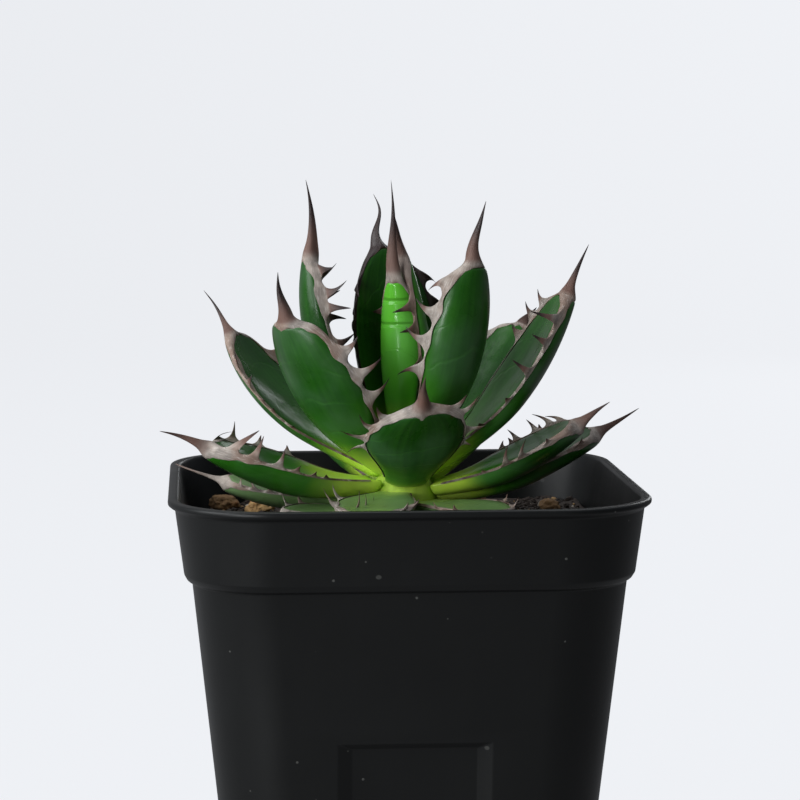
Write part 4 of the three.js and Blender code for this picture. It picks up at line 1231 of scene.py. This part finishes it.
class Shoot:
    """A tooth while it is drawn out of the margin's wall, ring by ring."""

    def __init__(self, grown, place, tooth, root):
        side, cell = place
        self.length, self.hook, self.lift = tooth
        self.root = self.reached = root
        _, self.forward, upward, sideways = grown.frame(station(cell + 0.5))
        bend = side * math.radians(grown.leaf.roll)
        self.outward = sideways * (side * math.cos(bend)) + upward * (side * math.sin(bend))
        self.inward = upward * math.cos(bend) - sideways * math.sin(bend)

    def drawn(self, point, centre, share, wide_by, thick_by):
        """Where a corner of the wall goes: out to its share of the tooth's length, and in to its middle."""
        bent = self.forward * (self.hook * share**2) + self.inward * (self.lift * share**2)
        reach = share * (1 - HOOK_SHORTENS * share * abs(self.hook))
        spot = self.root + (self.outward * reach + bent) * self.length * MM
        offset = point - centre
        over = self.inward * offset.dot(self.inward)
        return spot + (offset - over) * wide_by + over * thick_by


def tooth_walls(mesh, teeth):
    """The faces of the slab's rim that teeth grow from, each with its side and cell."""
    walls = {}
    for face in mesh.faces:
        ys = {round(v.co.y) for v in face.verts}
        if len(ys) == 1 and ys & {0, ACROSS}:
            place = (-1 if 0 in ys else 1, round(min(v.co.x for v in face.verts)))
            if place in teeth:
                walls[face.index] = place
    return walls


def lay_horn(mesh, grown, teeth):
    """Moves the slab's corners to their places on the leaf, and ripens the spine."""
    kept = layers(mesh)
    for vert in mesh.verts:
        i, j = round(vert.co.x), round(vert.co.y)
        side = face_side(vert)
        t, u = horn_line(grown, teeth, i, j, side)
        spine = max(t - 1, 0)
        ripe = sum(by * smooth(low, high, spine) for by, low, high in SPINE_RIPENS)
        vert[kept["ripe"]] = max(ripe * (1 - PALE_SPINE * grown.leaf.bleach), grown.leaf.dark[0])
        vert[kept["border"]] = float(i <= ALONG and BAND <= j <= ACROSS - BAND)
        mark(vert, kept, grown, t, u, side)
        proud = HORN_PROUD * (1 - smooth(*PROUD_ENDS, spine))
        vert.co = grown.point(t, u, side, proud, SHARP if j in (0, ACROSS) and i <= ALONG else 1) * MM


def draw_out_teeth(piece, grown, shoots):
    """Extrudes the selected walls ring by ring into teeth that ripen towards their points."""
    wide_before, thick_before = 1.0, 1.0
    for share, wide, thick, ripe in TOOTH_RINGS:
        bpy.ops.mesh.extrude_faces_indiv()
        mesh = bmesh.from_edit_mesh(piece.data)
        kept = layers(mesh)
        ripeness = lerp(ripe * (1 - PALE_TEETH * grown.leaf.bleach * (1 - share / 4)), 1, grown.leaf.dark[1])
        for face in [each for each in mesh.faces if each.select]:
            centre = face.calc_center_median()
            shoot = min(shoots, key=lambda each: (each.reached - centre).length)
            for vert in face.verts:
                vert.co = shoot.drawn(vert.co, centre, share, wide / wide_before, thick / thick_before)
                vert[kept["ripe"]] = ripeness
                vert[kept["border"]] = 0.0
            shoot.reached = face.calc_center_median()
        wide_before, thick_before = wide, thick
        bmesh.update_edit_mesh(piece.data)


def model_horn(grown, scale):
    """The horny edge of a leaf with its teeth, and the cap that runs out into the terminal spine."""
    teeth = placed_teeth(grown, scale)

    def horny(i, j):
        return i >= ALONG or (i >= HORN_START and (j < BAND or j >= ACROSS - BAND))

    piece = slab(f"{grown.name}_edge", ALONG + SPINE, ACROSS, horny)
    bpy.ops.mesh.select_all(action="DESELECT")
    mesh = bmesh.from_edit_mesh(piece.data)
    walls = tooth_walls(mesh, teeth)
    lay_horn(mesh, grown, teeth)
    mesh.faces.ensure_lookup_table()
    shoots = []
    for index, place in walls.items():
        mesh.faces[index].select = True
        shoots.append(Shoot(grown, place, teeth[place], mesh.faces[index].calc_center_median()))
    bmesh.update_edit_mesh(piece.data)
    if shoots:
        draw_out_teeth(piece, grown, shoots)
    leave(outwards=True)
    return finished(piece, subdivided(SKIN_LEVELS))


class AGAVE_OT_leaves(bpy.types.Operator):
    """Models every leaf: its green body and its horny edge with teeth and terminal spine"""

    bl_idname = "agave.leaves"
    bl_label = "Leaves"

    def execute(self, context):
        look = context.scene.agave_leaves
        green, horn = blade_material(look), horn_material(look)
        for row, leaf in enumerate(LEAVES):
            grown = Grown(leaf, row)
            dressed(model_blade(grown), green, "leaf", f"{grown.name}_blade")
            dressed(model_horn(grown, look.tooth_scale), horn, "horn", f"{grown.name}_horn")
        return {"FINISHED"}


# ---- Stage -------------------------------------------------------------------------------------
CAMERA_PLACE = (-39.3, -528.2, 171.4)
CAMERA_YAW, CAMERA_PITCH = 0.0741, 0.1055
CAMERA_CLIP = (0.01, 50)
FOCAL_PIXELS, FRAME_PIXELS = 2738.3, 800
SENSOR = 36.0
SWEEP_WIDTH, SWEEP_FRONT, SWEEP_BACK = 6.0, -2.6, 1.5  # metres, as all lengths of the stage
SWEEP_RADIUS, SWEEP_STEPS, SWEEP_WALL = 1.1, 24, 3.0
SWEEP_GLOW = 1.03  # as the viewer sees it
SWEEP_UNSEEN = (0.36, 0.1)  # share of it, left and right, in the plant's light and reflections
SWEEP_FADE = (-0.2, 0.4)  # from left to right
SWEEP_DARK = 0.93  # how little of the lamps' light it gives back
SWEEP_CORNER = 0.9  # how bright it is low on the left, against elsewhere
LAMP_TINT = (0.95, 0.98, 1.0)
LAMP_AIM = (0, 0, 0.11)
LAMPS = (  # name, place, share of the key light's power, width and height
    ("window", (-0.95, -0.3, 0.6), 1.0, (0.7, 0.9)),
    ("overhead", (0, 0.3, 1.1), 0.35, (1.1, 0.9)),
    ("softbox", (-0.62, -0.66, 0.3), 0.08, (0.12, 0.56)),
    ("low_card", (-0.48, -0.76, 0.15), 0.3, (0.09, 0.3)),
    ("back_strip", (0.5, 1.2, 0.45), 0.12, (0.2, 0.6)),
)
SKY_TINT, ROOM_TINT = "e6edf8", "eceff3"


def placed(name, data, place, ahead):
    """Puts a lamp or the camera in the scene, so that it looks the given way."""
    thing = bpy.data.objects.new(name, data)
    bpy.context.scene.collection.objects.link(thing)
    thing.location = place
    thing.rotation_euler = ahead.to_track_quat("-Z", "Y").to_euler()
    return thing


def add_lamps(power):
    """The soft lights round the plant, which the camera doesn't see."""
    for name, place, share, (width, height) in LAMPS:
        light = bpy.data.lights.new(name, "AREA")
        light.shape, light.color, light.energy = "RECTANGLE", LAMP_TINT, power * share
        light.size, light.size_y = width, height
        placed(name, light, place, Vector(LAMP_AIM) - Vector(place)).visible_camera = False


def add_camera():
    """The camera, where the photograph was taken from."""
    camera = bpy.data.cameras.new("camera")
    camera.sensor_width = SENSOR
    camera.lens = SENSOR * FOCAL_PIXELS / FRAME_PIXELS
    camera.clip_start, camera.clip_end = CAMERA_CLIP
    level = math.cos(CAMERA_PITCH)
    ahead = Vector((math.sin(CAMERA_YAW) * level, math.cos(CAMERA_YAW) * level, -math.sin(CAMERA_PITCH)))
    bpy.context.scene.camera = placed("camera", camera, Vector(CAMERA_PLACE) * MM, ahead)


def sweep_material(colour):
    """Paper that glows for the viewer, with painted shade that makes it a little darker towards the left and
    low down. The plant sees less of its glow, and more from the left.
    """
    f = Finish("paper_sweep", Roughness=1.0, Specular_IOR_Level=0.0, Emission_Strength=SWEEP_GLOW)
    x, _, z = f.parts(f.place())
    # Painted shade: the paper and its glow are a little darker towards the left and low down than elsewhere.
    tint = f.mixed(f.ranged(x * 0.35 + z * 0.2, -0.4, 0.5), shaded(colour, SWEEP_CORNER), colour)
    left, right = SWEEP_UNSEEN
    unlit = f.ranged(x, *SWEEP_FADE, 1 - left, 1 - right)
    shade = f.mixed(SWEEP_DARK, tint, (0, 0, 0))
    seen = f.node("ShaderNodeLightPath")
    glow = f.mixed(seen, f.mixed(unlit, tint, (0, 0, 0)), tint)
    return f.finish(Base_Color=shade, Emission_Color=glow)


def sweep(colour):
    """A floor that curves up into a wall far behind the pot."""
    bpy.ops.mesh.primitive_plane_add(size=1)
    floor = bpy.context.object
    floor.name = "sweep"
    for vert in floor.data.vertices:
        vert.co = (vert.co.x * SWEEP_WIDTH, SWEEP_FRONT if vert.co.y < 0 else SWEEP_BACK, 0)
    mesh = edit(floor, "EDGE")
    for edge in mesh.edges:
        if all(v.co.y > 0 for v in edge.verts):
            edge.select = True
    last = (0.0, 0.0)
    for k in range(1, SWEEP_STEPS + 1):
        turn = math.radians(90 * k / SWEEP_STEPS)
        spot = (SWEEP_RADIUS * math.sin(turn), SWEEP_RADIUS * (1 - math.cos(turn)))
        step = (0, spot[0] - last[0], spot[1] - last[1])
        bpy.ops.mesh.extrude_region_move(TRANSFORM_OT_translate={"value": step})
        last = spot
    bpy.ops.mesh.extrude_region_move(TRANSFORM_OT_translate={"value": (0, 0, SWEEP_WALL)})
    leave()
    finished(floor)
    floor.data.materials.append(sweep_material(colour))


def room(front, sky):
    """A pale world that lights the plant more from above, behind and the left than from the front."""
    world = bpy.data.worlds.new("room")
    world.use_nodes = True
    f = Nodes(world.node_tree)
    x, y, z = f.parts(f.node("ShaderNodeTexCoord", out="Generated"))
    behind = f.ranged(y - x * 0.35, -0.5, 0.6)
    above = f.ranged(z, 0.05, 0.7)
    strength = front + (sky - front) * (behind + above - behind * above)
    seen = f.node("ShaderNodeLightPath")
    light = f.node("ShaderNodeBackground", values={"Color": srgb(SKY_TINT), "Strength": strength})
    pale = f.node("ShaderNodeBackground", values={"Color": srgb(ROOM_TINT), "Strength": 1.0})
    shown = f.node("ShaderNodeMixShader", values={0: seen, 1: light, 2: pale})
    f.tree.links.new(shown.socket, f.tree.nodes["World Output"].inputs["Surface"])
    bpy.context.scene.world = world


class AGAVE_OT_stage(bpy.types.Operator):
    """Makes the pale sweep, the soft lights, the sky and the camera"""

    bl_idname = "agave.stage"
    bl_label = "Stage"

    def execute(self, context):
        look = context.scene.agave_stage
        context.scene.view_settings.view_transform = "Standard"
        sweep(look.floor)
        add_lamps(look.key)
        room(look.front, look.sky)
        add_camera()
        return {"FINISHED"}


class AGAVE_PT_panel(bpy.types.Panel):
    """Lists the parts of the agave with their sizes and colours"""

    bl_idname = "AGAVE_PT_panel"
    bl_label = "Potted agave"
    bl_space_type = "VIEW_3D"
    bl_region_type = "UI"
    bl_category = "Agave"

    def draw(self, context):
        for operator, look in STEPS:
            box = self.layout.box()
            box.operator(operator.bl_idname)
            if look:
                settings = getattr(context.scene, look)
                for name in type(settings).__annotations__:
                    box.prop(settings, name)


# Each operator with the settings that the panel shows under it, and the kinds of settings.
STEPS = (
    (AGAVE_OT_stage, "agave_stage"),
    (AGAVE_OT_pot, "agave_pot"),
    (AGAVE_OT_ground, "agave_ground"),
    (AGAVE_OT_stem, None),
    (AGAVE_OT_leaves, "agave_leaves"),
)
LOOKS = {
    "agave_pot": PotLook,
    "agave_ground": GroundLook,
    "agave_leaves": LeafLook,
    "agave_stage": StageLook,
}


def register():
    for name, look in LOOKS.items():
        bpy.utils.register_class(look)
        setattr(bpy.types.Scene, name, PointerProperty(type=look))
    for operator, _ in STEPS:
        bpy.utils.register_class(operator)
    bpy.utils.register_class(AGAVE_PT_panel)


def unregister():
    bpy.utils.unregister_class(AGAVE_PT_panel)
    for operator, _ in reversed(STEPS):
        bpy.utils.unregister_class(operator)
    for name, look in LOOKS.items():
        delattr(bpy.types.Scene, name)
        bpy.utils.unregister_class(look)


def main():
    register()
    bpy.ops.object.select_all(action="DESELECT")
    bpy.ops.agave.stage()
    bpy.ops.agave.pot()
    bpy.ops.agave.ground()
    bpy.ops.agave.stem()
    bpy.ops.agave.leaves()


if __name__ == "__main__":
    main()
